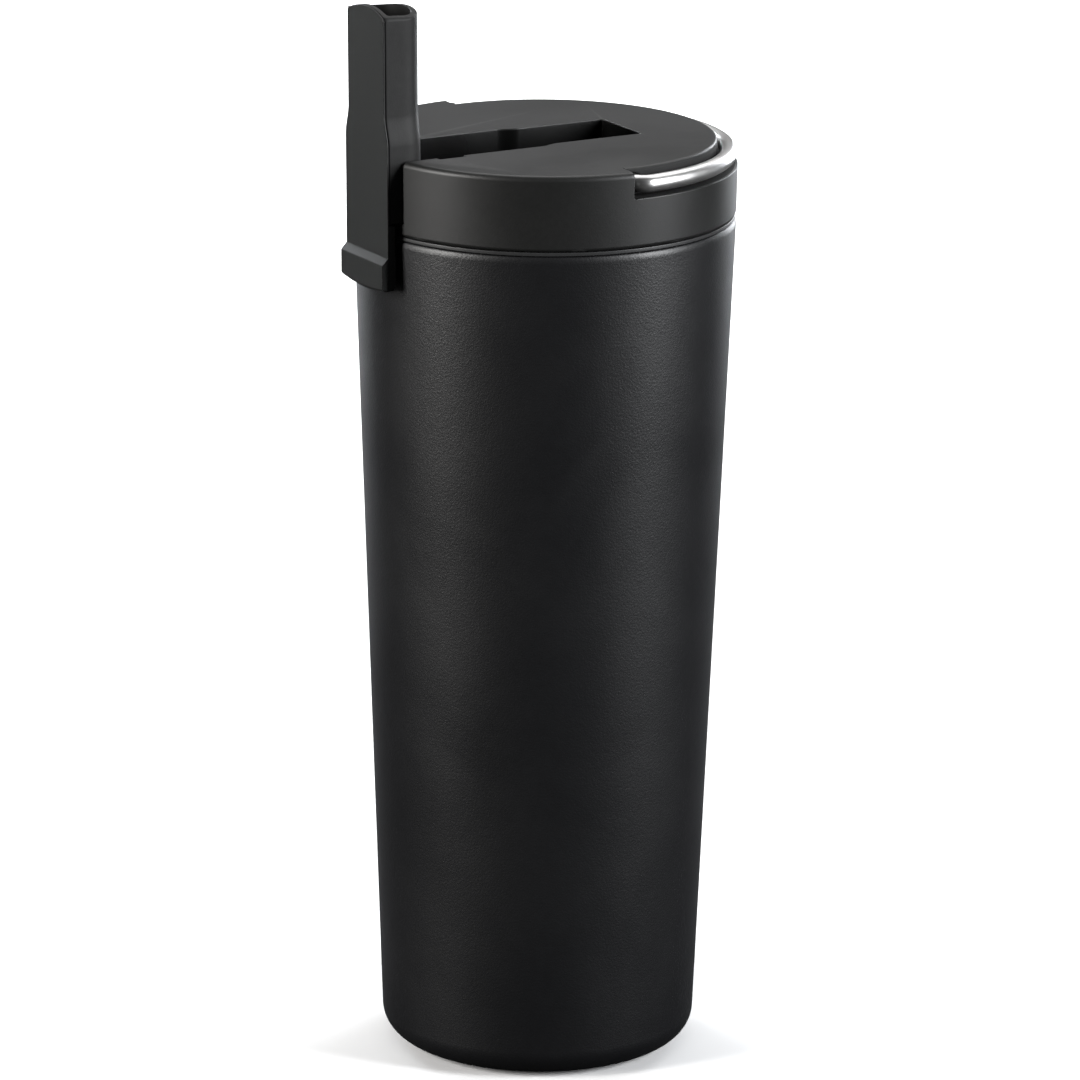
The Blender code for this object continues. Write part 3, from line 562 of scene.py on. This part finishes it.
loop_rod_r, loop_ring_r = 1.8, 38.5
lid_outline = np.concatenate([
    [[0.0, lid_top], [20.0, lid_top]],
    rounded([(35.0, lid_top, 0), (lid_r, lid_top, lid_edge), (skirt_foot_r, lid_foot, lid_foot_round),
             (skirt_r, lid_foot, 0.15), (skirt_r, rebate_floor - drum_wall, 0.6),
             (drum_r - drum_wall, rebate_floor - drum_wall, 0.6),
             (drum_r - drum_wall, lid_top - plate_t, 0.8), (20.0, lid_top - plate_t, 0)], 6),
    [[0.0, lid_top - plate_t]]])
lid = turned("lid_cap", lid_outline, 256)
drum_profile = np.concatenate([
    [[drum_r, rebate_floor]],
    np.stack([drum_r - drum_round + drum_round * np.cos(np.linspace(0, 0.5 * math.pi, 7)),
              lid_top - drum_round + drum_round * np.sin(np.linspace(0, 0.5 * math.pi, 7))], 1),
    [[drum_r - drum_round, lid_top + 1.0], [lid_r + 3, lid_top + 1.0], [lid_r + 3, rebate_floor]]])
rebate = carve(turned("rebate", drum_profile, 256),
               ("INTERSECT", prism("front_half", box_plan(rebate_end, 60, 60),
                                   rebate_floor - 5, lid_top + 5)))
boss_r, boss_foot_y, boss_head_y = 3.0, 29.5, drum_r - 0.8
socket_foot_y, socket_head_y = 31.2, 39.0
lid_steps = [
    ("UNION", prism("trough", keel(slot_end + slot_wall, slot_wide + slot_wall, 39.0),
                    slot_floor - slot_wall, lid_top - 1.5)),
    ("UNION", prism("well", keel(saddle_end + 0.8, saddle_half + saddle_wall, 39.1),
                    plug_top + 0.3, lid_top - 1.2))]
lid_steps += [("UNION", bar("boss", (loop_x, side * boss_foot_y, loop_z),
                            (loop_x, side * boss_head_y, loop_z), boss_r))
              for side in (-1, 1)]
lid_steps += [
    ("DIFFERENCE", rebate),
    ("DIFFERENCE", prism("slot", slot_plan(-lid_r - 10), slot_floor, lid_top + 3)),
    ("DIFFERENCE", prism("notch", box_plan(-50, -30, slot_wide), notch_floor, lid_top + 2.5)),
    ("DIFFERENCE", prism("well_cut", box_plan(well_low_x, well_high_x, slot_wide),
                         plug_top - 1, lid_top + 2.7)),
    ("DIFFERENCE", prism("grooves", box_plan(pivot_x - saddle_r, pivot_x + saddle_r, saddle_half),
                         plug_top - 1.5, lid_top + 2.2)),
    ("DIFFERENCE", bar("vent_channel", (10, 0, slot_floor - 3), (10, 0, slot_floor + 1), 1.3))]
lid_steps += [("DIFFERENCE", bar("socket", (loop_x, side * socket_foot_y, loop_z),
                                 (loop_x, side * socket_head_y, loop_z), loop_rod_r + 0.25))
              for side in (-1, 1)]
carve(lid, *lid_steps)
join_flats(lid, lid_top)
soften(lid, 0.22)
lid_dark = (0.0052, 0.0054, 0.0052)
lid_plastic = coated("lid_plastic", lid_dark, (0.0095, 0.0097, 0.0094), (0.045, 0.045, 0.045),
                     roughness=0.46, grain_mm=0.26, bump_mm=0.016, specks=0.35)


def shade_and_finish_recesses(material, radius, top, half, dull=0.32, polish=0.2, depth=0.35):
    """Painted shade in the recesses: their colour is darkened. The loop's rebate is left dull from the
    mould, the trough is polished.

    recess = 1 where x^2 + y^2 < radius^2 and z < top;  trough = recess where |y| < half
    roughness = base + dull * recess - (dull + polish) * trough
    """
    tree = material.node_tree
    shader = tree.nodes["Principled BSDF"]
    place = add(tree, "ShaderNodeTexCoord")
    split = add(tree, "ShaderNodeSeparateXYZ")
    flat = add(tree, "ShaderNodeCombineXYZ")
    reach = add(tree, "ShaderNodeVectorMath", operation="LENGTH")
    within = add(tree, "ShaderNodeMath", operation="LESS_THAN")
    within.inputs[1].default_value = radius * mm
    below = add(tree, "ShaderNodeMath", operation="LESS_THAN")
    below.inputs[1].default_value = top * mm
    recess = add(tree, "ShaderNodeMath", operation="MULTIPLY")
    aside = add(tree, "ShaderNodeMath", operation="ABSOLUTE")
    middle_part = add(tree, "ShaderNodeMath", operation="LESS_THAN")
    middle_part.inputs[1].default_value = half * mm
    trough = add(tree, "ShaderNodeMath", operation="MULTIPLY")
    dulled = add(tree, "ShaderNodeMath", operation="MULTIPLY_ADD")
    dulled.inputs[1].default_value = dull
    polished = add(tree, "ShaderNodeMath", operation="MULTIPLY_ADD")
    polished.inputs[1].default_value = -(dull + polish)
    # Painted shade: inside the recesses the colour is mixed towards depth x the lid's dark colour.
    painted_shade = add(tree, "ShaderNodeMix", data_type="RGBA")
    painted_shade.inputs[7].default_value = (*[depth * c for c in lid_dark], 1.0)
    color = shader.inputs["Base Color"].links[0].from_socket
    rough = shader.inputs["Roughness"].links[0].from_socket
    tree.links.new(color, painted_shade.inputs[6])
    tree.links.new(rough, dulled.inputs[2])
    wire(tree,
         ((place, "Object"), (split, 0)), ((split, "X"), (flat, 0)), ((split, "Y"), (flat, 1)),
         ((flat, 0), (reach, 0)), ((reach, "Value"), (within, 0)), ((split, "Z"), (below, 0)),
         ((within, 0), (recess, 0)), ((below, 0), (recess, 1)),
         ((split, "Y"), (aside, 0)), ((aside, 0), (middle_part, 0)),
         ((recess, 0), (trough, 0)), ((middle_part, 0), (trough, 1)),
         ((recess, 0), (dulled, 0)), ((trough, 0), (polished, 0)), ((dulled, 0), (polished, 2)),
         ((recess, 0), (painted_shade, 0)),
         ((polished, 0), (shader, "Roughness")), ((painted_shade, 2), (shader, "Base Color")))


# Painted shade darkens the lid's colour in the rebate and the trough; their roughness changes too.
shade_and_finish_recesses(lid_plastic, 39.9, lid_top - 0.35, 12.0)
dress(lid, lid_plastic, "lid_plastic", "lid", "lid_shell")


# ---------------------------------------------------------------- lid plug
# The threaded lower half of the lid, moulded in the same black polypropylene and welded to the cap.
# Its thin flange shows between cap and vessel; inside it carries the lever's saddle and the straw.

plug_r, plug_inner = 36.2, 33.2
plug_low = 170.0
plug_floor = plug_low + 2.0
flange_low, flange_high, flange_r = mouth_z + 0.16, lid_foot - 0.14, 40.05
gasket_low, gasket_high, gasket_root = 171.0, 174.5, 34.9
straw_foot = np.array((-23.8, 0.0, 12.8))
straw_top = np.array((-28.2, 0.0, 173.9))


def straw_at(z):
    """Point on the straw's leaning line at a height."""
    return straw_foot + (straw_top - straw_foot) * (z - straw_foot[2]) / (straw_top[2] - straw_foot[2])


plug_outline = np.concatenate([
    [[0.0, plug_low]],
    rounded([(30.0, plug_low, 0), (plug_r, plug_low, 0.5), (plug_r, gasket_low, 0.1),
             (gasket_root, gasket_low, 0.1), (gasket_root, gasket_high, 0.1), (plug_r, gasket_high, 0.1),
             (plug_r, flange_low, 0.3), (flange_r, flange_low, 0.15), (flange_r, flange_high, 0.15),
             (skirt_r - 0.3, flange_high, 0.1), (skirt_r - 0.3, plug_top, 0.2), (plug_inner, plug_top, 0.2),
             (plug_inner, plug_floor, 0.8), (30.0, plug_floor, 0)], 4),
    [[0.0, plug_floor]]])
plug = turned("lid_insert", plug_outline, 192)


def thread_solid(turns=1.4, low=176.6, pitch=3.2, crest=37.15):
    """Thread: a rounded trapezoid carried up a helix, its crest faded into the wall at both ends.

    Each row is the trapezoid at angle tau x turns x t, raised by pitch x turns x t.
    """
    t = np.linspace(0, 1, 150)
    angle = math.tau * turns * t
    fade = np.clip(8 * t, 0, 1) * np.clip(8 * (1 - t), 0, 1)
    top = plug_r - 0.2 + (crest - plug_r + 0.2) * fade
    shape = np.array([(0, -0.95), (0.85, -0.5), (1, -0.25), (1, 0.25), (0.85, 0.5), (0, 0.95)])
    foot = plug_r - 0.8
    r = foot + (top[:, None] - foot) * shape[:, 0]
    z = low + pitch * turns * t[:, None] + shape[:, 1]
    across, along = np.cos(angle)[:, None], np.sin(angle)[:, None]
    return solid("thread", np.stack([r * across, r * along, z], -1), caps=True)


def fan(center, radius, low, high, steps=24):
    """Arc of points round a centre between two angles in degrees."""
    angles = np.radians(np.linspace(low, high, steps))
    return np.array(center) + radius * np.stack([np.cos(angles), np.sin(angles)], 1)


def cross_prism(name, outline, half):
    """Straight solid along Y, the same distance each side, over an outline of (x, z) points."""
    outline = np.asarray(outline, float)
    grid = np.stack([np.column_stack([outline[:, 0], np.full(len(outline), y), outline[:, 1]])
                     for y in (-half, half)])
    return solid(name, grid, caps=True)


barrel_r, port_r = 5.5, 2.3
socket_low, socket_r = 164.2, 5.0
vent_x = 18.0
seal_t, seal_half, seal_reach = 1.2, 6.3, 45.0
pocket_r = barrel_r + seal_t + 0.6
pocket = np.concatenate([fan((pivot_x, pivot_z), pocket_r, -90 - seal_reach - 2.5, -90 + seal_reach + 2.5),
                         [[pivot_x, pivot_z]]])


def pivot_bar(name, half, radius, segments=48):
    """Round bar on the lever's pivot axis, the same distance each side."""
    return bar(name, (pivot_x, -half, pivot_z), (pivot_x, half, pivot_z), radius, segments)


carve(plug,
      ("UNION", prism("saddle", keel(saddle_end, saddle_half + saddle_wall, gasket_root - 0.4),
                      plug_floor - 0.5, plug_top - 0.02)),
      ("UNION", bar("straw_socket", straw_at(socket_low), straw_at(plug_low + 1), socket_r + 1.5)),
      ("UNION", thread_solid()),
      ("DIFFERENCE", pivot_bar("barrel_seat", slot_wide, barrel_r + 0.3)),
      ("DIFFERENCE", pivot_bar("trunnion_seat", saddle_half, saddle_r)),
      ("DIFFERENCE", cross_prism("seal_pocket", pocket, seal_half + 0.3)),
      ("DIFFERENCE", bar("socket_bore", straw_at(163.0), straw_at(straw_top[2] + 0.7), socket_r)),
      ("DIFFERENCE", bar("port", (pivot_x + 0.2, 0, pivot_z - 5),
                         (pivot_x + 0.3, 0, straw_top[2] - 1), port_r, 32)),
      ("DIFFERENCE", bar("vent_hole", (vent_x, 0, plug_low - 1), (vent_x, 0, plug_floor + 1), 2.0, 32)))
soften(plug, 0.1, 2)
plug_plastic = coated("plug_plastic", (0.020, 0.0205, 0.021), (0.026, 0.0265, 0.027), (0.05, 0.05, 0.05),
                      roughness=0.42, grain_mm=0.3, bump_mm=0.008, specks=0.15)
dress(plug, plug_plastic, "plug_plastic", "lid", "lid_plug")


# ---------------------------------------------------------------- seals in the lid
# Food-grade silicone: a double-lipped neck gasket in the plug's groove, the saddle's seal under the
# lever's barrel, the straw's sleeve pushed up into its socket, and an umbrella vent valve.

gasket_inner, gasket_tip = gasket_root + 0.3, neck_r - 0.3
gasket_outline = rounded([
    (gasket_inner, gasket_low + 0.3, 0.15), (gasket_inner + 1.2, gasket_low + 0.3, 0.2),
    (gasket_tip, gasket_low + 0.6, 0.25), (gasket_tip, gasket_low + 1.15, 0.25),
    (gasket_inner + 1.2, 0.5 * (gasket_low + gasket_high), 0.3), (gasket_tip, gasket_high - 1.15, 0.25),
    (gasket_tip, gasket_high - 0.6, 0.25), (gasket_inner + 1.2, gasket_high - 0.3, 0.2),
    (gasket_inner, gasket_high - 0.3, 0.15)], 4)
dress(turned("neck_gasket", gasket_outline, 192), silicone, "silicone", "lid", "lid_gasket")
refinish("spout_seal", silicone)


def lean(piece):
    """Turn a piece made round the Z axis so that it stands on the straw's line, foot at its origin."""
    line = Vector(straw_top - straw_foot)
    piece.data.transform(line.to_track_quat("Z", "Y").to_matrix().to_4x4())
    piece.data.transform(Matrix.Translation(Vector(straw_foot) * mm))
    return piece


straw_length = float(np.linalg.norm(straw_top - straw_foot))
sleeve_foot = straw_length - 11.0
sleeve_outline = rounded([
    (3.55, sleeve_foot, 0.3), (6.1, sleeve_foot, 0.35), (6.1, sleeve_foot + 0.9, 0.25),
    (4.7, sleeve_foot + 0.9, 0.1), (4.7, straw_length + 0.1, 0.3), (3.55, straw_length + 0.1, 0.2)], 4)
dress(lean(turned("straw_grip", sleeve_outline, 96)), silicone, "silicone", "lid", "straw_sleeve")
valve_top = plug_floor + 0.3
valve_outline = np.concatenate([
    [[0.0, plug_low - 1.2]],
    rounded([(1.5, plug_low - 1.15, 0), (4.6, plug_low - 0.75, 0.2), (4.6, plug_low - 0.3, 0.12),
             (1.7, plug_low - 0.3, 0.1), (1.7, valve_top, 0.1), (2.6, valve_top + 0.2, 0.15),
             (2.0, valve_top + 1.4, 0.3), (0.8, valve_top + 1.8, 0)], 4),
    [[0.0, valve_top + 1.8]]])
dress(turned("vent_umbrella", valve_outline, 64, (vent_x, 0.0)), silicone, "silicone", "lid", "vent_valve")


# ---------------------------------------------------------------- straw
# A stiff extruded tube of black copolyester with flame-polished ends, held by the sleeve.

straw_r, straw_bore = 3.25, 2.5
straw_outline = rounded([(straw_r, 0.0, 0.3), (straw_r, straw_length, 0.3),
                         (straw_bore, straw_length, 0.3), (straw_bore, 0.0, 0.3)], 5)
straw_plastic = coated("straw_plastic", (0.018, 0.018, 0.019), (0.023, 0.023, 0.024), (0.05, 0.05, 0.05),
                       roughness=0.24, grain_mm=0.8, bump_mm=0.004, specks=0.1)
dress(lean(turned("straw_tube", straw_outline, 64)), straw_plastic, "straw_plastic",
      "lid", "drinking_straw")


# ---------------------------------------------------------------- spout lever
# The lever is two mouldings: a smooth satin face plate with a thumb tab, welded to a D-shaped
# drinking tube of finer matt texture whose barrel and trunnions turn in the lid's saddle.

face_x = pivot_x - (lid_top - pivot_z)
tab_x = face_x - 1.35
cover_back = face_x + 0.4
tail_back = face_x + 1.8
tip_z, tip_crown, mouth_drop = lid_top + 30.0, 1.7, 1.05
cover_narrow, cover_wide = 7.7, 9.0
widen_low, widen_high = lid_top + 3.2, lid_top + 9.5
tube_bottom, bore_bottom = lid_top - 12.9, lid_top - 9.0
tab_low, tab_high, tab_slope = lid_top - 27.1, lid_top - 21.5, lid_top - 20.1
tab_crown, tab_chamfer = -0.7, 0.65
lever_lean = 0.7


def lever_half(z):
    """Half width of the lever: narrow at the tip, eased to wide between widen_high and widen_low."""
    return cover_wide + (cover_narrow - cover_wide) * ease(z, widen_low, widen_high)


def lean_lever(piece):
    """Turn a lever piece outwards about the pivot by the small angle that the open lever leans."""
    pivot = Matrix.Translation(Vector((pivot_x, 0, pivot_z)) * mm)
    piece.data.transform(pivot @ Matrix.Rotation(-math.radians(lever_lean), 4, "Y") @ pivot.inverted())
    return piece


def corner_fall(u):
    """Fall of a rounded corner: 0 up to 0.93 of the half width, then a square rise to 1 at its end."""
    return np.clip((np.abs(u) - 0.93) / 0.07, 0, 1) ** 2


def cover_solid():
    """Face plate: rectangles stacked up the lever, each row crowned by crown x (1 - u squared).

    Each row is (height, crown, front, back); u runs from -1 to 1 across the width, closer together
    at the sides, where the top row's corners fall away by the square of the distance past 0.93.
    """
    rows = [(tab_low, tab_crown, tab_x + tab_chamfer, tail_back - tab_chamfer),
            (tab_low + tab_chamfer, tab_crown, tab_x, tail_back),
            (tab_high, 0, tab_x, tail_back), (tab_slope, 0, face_x, tail_back),
            (tube_bottom - 0.35, 0, face_x, tail_back), (tube_bottom - 0.3, 0, face_x, cover_back)]
    rows += [(z, 0, face_x, cover_back) for z in np.linspace(widen_low, widen_high, 19)]
    rows += [(tip_z, tip_crown, face_x, cover_back)]
    z, crown, front, back = (column[:, None] for column in np.array(rows, float).T)
    u = np.sin(np.linspace(-0.5 * math.pi, 0.5 * math.pi, 33))
    y = lever_half(z) * u
    height = z + crown * (1 - u ** 2) - 0.5 * (z == tip_z) * corner_fall(u)
    face = np.stack([front + 0 * u, y, height], -1)
    rear = np.stack([back + 0 * u, y, height], -1)
    return solid("lever_face", np.concatenate([face, rear[:, ::-1]], 1), caps=True)


cover_plastic = coated("cover_plastic", (0.0140, 0.0148, 0.0147), (0.0175, 0.0184, 0.0182),
                       (0.075, 0.075, 0.075), roughness=0.46, grain_mm=0.12, bump_mm=0.004,
                       specks=0.1, specular=0.32, polish=0.05)
cover = cover_solid()
soften(lean_lever(cover), 0.14, 3, 30)
dress(cover, cover_plastic, "cover_plastic", "spout", "spout_cover")


tube_front = cover_back + 0.1
tube_side, belly_x = -38.2, -32.2
lip = 1.3


def tube_ring(half, inset, z, crown=0.0):
    """D-shaped ring of points: straight sides, and a belly that is a superellipse of exponent 2.5.

    inset moves it inwards all round. A crowned ring rises by crown x (1 - (y / narrow width)
    squared) and falls towards the belly by mouth_drop x (depth / whole depth) squared.
    """
    front, belly, half = tube_front + inset, belly_x - inset, half - inset
    angle = np.radians(np.linspace(-90, 90, 49))
    x = tube_side + (belly - tube_side) * np.abs(np.cos(angle)) ** 0.8
    y = half * np.sign(np.sin(angle)) * np.abs(np.sin(angle)) ** 0.8
    flat = np.linspace(0, 1, 9)[:-1]
    corner = 0.35 + 0.4 * (inset > 0)
    turn = np.radians(np.linspace(90, 180, 6))
    cx, cy = front + corner, half - corner
    top_x = np.concatenate([tube_side + (cx - tube_side) * flat[1:], cx + corner * np.cos(turn)])
    top = np.stack([top_x, np.concatenate([np.full(7, half), cy + corner * np.sin(turn)])], 1)
    left = np.stack([np.full(7, front), cy * (1 - 2 * flat[1:])], 1)
    points = np.concatenate([np.stack([x, y], 1), top, left, top[::-1] * (1, -1)])
    u = points[:, 1] / cover_narrow
    depth = (points[:, 0] - face_x) / (belly_x - face_x)
    height = z + (crown > 0) * (crown * (1 - u ** 2) - 0.5 * corner_fall(u) - mouth_drop * depth ** 2)
    return np.column_stack([points, height])


def tube_solid():
    """Tube: rings up the outside, a half-round lip at the mouth, and rings down the bore."""
    inset = 0.12
    outside = [tube_ring(lever_half(tube_bottom) - inset, 0, tube_bottom)]
    outside += [tube_ring(lever_half(z) - inset, 0, z) for z in np.linspace(widen_low, widen_high, 19)]
    roll = np.linspace(0, math.pi, 9)
    lip_r = 0.32
    for a in roll:
        step_in = lip_r * (1 - math.cos(a)) if a <= math.pi / 2 else lip - lip_r * (1 + math.cos(a))
        height = tip_z - lip_r * (1 - math.sin(a))
        outside.append(tube_ring(cover_narrow - inset, step_in, height, tip_crown))
    inside = [tube_ring(lever_half(z) - inset, lip, z) for z in np.linspace(widen_high, widen_low, 19)]
    inside += [tube_ring(lever_half(tube_bottom) - inset, lip, bore_bottom)]
    return solid("lever_tube", np.stack(outside + inside), caps=True)


barrel_half = 8.85
trunnion_half, trunnion_r = 10.25, 2.8
web_half = 5.6
tube = tube_solid()
web = [(pivot_x + x, pivot_z + z) for x, z in
       ((-8.6, 1.65), (-3.0, 1.65), (-0.1, 4.5), (-0.1, 6.4), (-1.5, 7.0), (-4.4, 7.1), (-8.6, 7.1))]
carve(tube,
      ("UNION", pivot_bar("barrel", barrel_half, barrel_r, 96)),
      ("UNION", pivot_bar("trunnions", trunnion_half, trunnion_r, 64)),
      ("UNION", cross_prism("web", web, web_half)),
      ("DIFFERENCE", bar("elbow", (pivot_x - 8.7, 0, pivot_z + 7), (pivot_x, 0, pivot_z), port_r)),
      ("DIFFERENCE", bar("port", (pivot_x, 0, pivot_z + 0.5), (pivot_x, 0, pivot_z - 8), port_r)))
soften(lean_lever(tube), 0.15, 2, 50)
tube_plastic = coated("tube_plastic", (0.0085, 0.0085, 0.0085), (0.0165, 0.0165, 0.0162),
                      (0.05, 0.05, 0.05), roughness=0.58, grain_mm=0.34, bump_mm=0.022,
                      specks=0.6, specular=0.26)
dress(tube, tube_plastic, "tube_plastic", "spout", "spout_tube")


# ---------------------------------------------------------------- carry loop
# One 3.6 mm stainless rod bent cold into a half ring, satin-ground along its length, with its
# ends turned in and sprung into the sockets in the drum.

def loop_solid(rod=loop_rod_r, ring=loop_ring_r, bend=2.5, end_y=32.0):
    """Tube round a path: in along Y, a quarter bend, then a half circle round Z, and back again.

    The path is resampled at equal steps; rings of points stand square to it, with rounded ends.
    """
    bend_y = ring - bend
    start = math.asin((loop_x + bend) / ring)
    quarter = np.radians(np.linspace(180, 96, 16))
    arc = np.linspace(0.5 * math.pi - start - 0.01, 0, 80)
    half = np.concatenate([
        [[loop_x, end_y], [loop_x, bend_y - 0.6]],
        np.stack([loop_x + bend + bend * np.cos(quarter), bend_y + bend * np.sin(quarter)], 1),
        np.stack([ring * np.cos(arc), ring * np.sin(arc)], 1)])
    path = np.concatenate([half, half[-2::-1] * (1, -1)])
    run = np.concatenate([[0], np.cumsum(np.linalg.norm(np.diff(path, axis=0), axis=1))])
    even = np.linspace(0, run[-1], 361)
    x, y = np.interp(even, run, path[:, 0]), np.interp(even, run, path[:, 1])
    kernel = np.hanning(7) / np.hanning(7).sum()
    x[3:-3], y[3:-3] = np.convolve(x, kernel, "valid"), np.convolve(y, kernel, "valid")
    tangent = np.stack([np.gradient(x), np.gradient(y)], 1)
    tangent /= np.linalg.norm(tangent, axis=1)[:, None]
    side = np.stack([tangent[:, 1], -tangent[:, 0]], 1)
    around = math.tau * np.arange(40) / 40
    near_end = np.minimum(even, run[-1] - even)
    radius = rod * np.sqrt(np.clip(1 - (1 - np.clip(near_end / 0.5, 0, 1)) ** 2 * 0.35, 0, 1))
    u = radius[:, None] * np.cos(around)
    grid = np.stack([x[:, None] + side[:, :1] * u, y[:, None] + side[:, 1:] * u,
                     loop_z + radius[:, None] * np.sin(around)], -1)
    return solid("loop_rod", grid, caps=True)


loop_steel = steel("loop_steel", (0.80, 0.795, 0.785), 0.36, (1.0, 1.0, 5.0), 0.0006, lines_mm=2.4)
dress(loop_solid(), loop_steel, "loop_steel", "loop", "carry_loop")


# ---------------------------------------------------------------- floor, light and camera
# A wide white floor that glows more the farther it is from the mug, so that it has no horizon. Two
# tall soft boxes stand at the sides, two rim lights behind them, and a large box hangs at the back.

floor = bpy.data.objects.new("floor", bpy.data.meshes.new("floor"))
reach = 6.0
floor.data.from_pydata([(-reach, -reach, 0), (reach, -reach, 0), (reach, reach, 0), (-reach, reach, 0)],
                       [], [(0, 1, 2, 3)])
bpy.context.scene.collection.objects.link(floor)
floor_paint, floor_tree, floor_shader = nodes_of("floor_paint")
floor_shader.inputs["Base Color"].default_value = (0.9, 0.9, 0.9, 1)
floor_shader.inputs["Roughness"].default_value = 0.95
floor_shader.inputs["Specular IOR Level"].default_value = 0.0
floor_shader.inputs["Emission Color"].default_value = (1, 1, 1, 1)
floor_place = add(floor_tree, "ShaderNodeTexCoord")
floor_reach = add(floor_tree, "ShaderNodeVectorMath", operation="LENGTH")
floor_glow = add(floor_tree, "ShaderNodeMapRange", interpolation_type="SMOOTHSTEP")
glow_start, glow_full = 0.25, 1.1
floor_glow.inputs[1].default_value = glow_start
floor_glow.inputs[2].default_value = glow_full
wire(floor_tree, ((floor_place, "Object"), (floor_reach, 0)), ((floor_reach, "Value"), (floor_glow, 0)),
     ((floor_glow, 0), (floor_shader, "Emission Strength")))
floor_away = add(floor_tree, "ShaderNodeBsdfDiffuse", Color=(0.03, 0.03, 0.03, 1))
floor_seen = add(floor_tree, "ShaderNodeLightPath")
floor_mix = add(floor_tree, "ShaderNodeMixShader")
wire(floor_tree, ((floor_seen, "Is Camera Ray"), (floor_mix, 0)), ((floor_away, 0), (floor_mix, 1)),
     ((floor_shader, 0), (floor_mix, 2)),
     ((floor_mix, 0), (floor_tree.nodes["Material Output"], "Surface")))
floor.data.materials.append(floor_paint)

world = bpy.data.worlds.new("studio")
bpy.context.scene.world = world
world.use_nodes = True
sky = world.node_tree.nodes["Background"]
sky_seen = add(world.node_tree, "ShaderNodeLightPath")
sky_level = add(world.node_tree, "ShaderNodeMapRange")
sky_for_light, sky_for_camera = 0.03, 1.0
sky_level.inputs[3].default_value = sky_for_light
sky_level.inputs[4].default_value = sky_for_camera
wire(world.node_tree, ((sky_seen, "Is Camera Ray"), (sky_level, 0)), ((sky_level, 0), (sky, "Strength")))
sky.inputs["Color"].default_value = (1, 1, 1, 1)
bpy.context.scene.view_settings.view_transform = "Standard"


def soft_box(name, place, aim, width, height, power, color=(1, 1, 1)):
    """Rectangular area light at a place in metres, turned to face a point."""
    light = bpy.data.lights.new(name, "AREA")
    light.shape = "RECTANGLE"
    light.size, light.size_y, light.energy = width, height, power
    light.color = color
    lamp = bpy.data.objects.new(name, light)
    lamp.location = place
    lamp.rotation_euler = (Vector(aim) - Vector(place)).to_track_quat("-Z", "Y").to_euler()
    bpy.context.scene.collection.objects.link(lamp)


view_turn = math.radians(-30.0)
ahead = Vector((-math.sin(view_turn), math.cos(view_turn), 0))
right = Vector((math.cos(view_turn), math.sin(view_turn), 0))
middle = Vector((0, 0, 0.13))


def round_object(turn, distance, height):
    """Place at this many degrees to the right of the camera's direction, seen from the object."""
    a = math.radians(turn)
    return (right * math.sin(a) - ahead * math.cos(a)) * distance + Vector((0, 0, height))


lamp_distance = 1.1
box_aim = middle + Vector((0, 0, 0.05))
warm, cool, rim_cool = (1, 0.985, 0.965), (0.965, 0.98, 1), (0.93, 0.96, 1)
soft_box("left_box", round_object(-65, lamp_distance, 0.50), box_aim, 0.30, 0.75, 19, warm)
soft_box("right_box", round_object(69, lamp_distance, 0.50), box_aim, 0.26, 0.75, 21, cool)
soft_box("left_rim", round_object(-150, lamp_distance, 0.12), middle, 0.3, 0.9, 15, rim_cool)
soft_box("right_rim", round_object(150, lamp_distance, 0.12), middle, 0.3, 0.9, 13, rim_cool)
soft_box("back_box", middle + ahead * 0.9 + Vector((0, 0, 1.3)), middle, 2.0, 1.2, 16.5)

camera_data = bpy.data.cameras.new("camera")
camera_data.lens = 226.4
camera_data.sensor_width = 36.0
camera_data.clip_end = 30.0
camera = bpy.data.objects.new("camera", camera_data)
target = Vector((-0.355, 0.205, 110.6)) * mm
rise, roll, camera_distance = math.radians(15.80), math.radians(0.543), 1.4511
camera.location = target + (Vector((0, 0, math.sin(rise))) - ahead * math.cos(rise)) * camera_distance
aim = (target - camera.location).to_track_quat("-Z", "Y")
camera.rotation_euler = (aim.to_matrix() @ Matrix.Rotation(roll, 3, "Z")).to_euler()
bpy.context.scene.collection.objects.link(camera)
bpy.context.scene.camera = camera
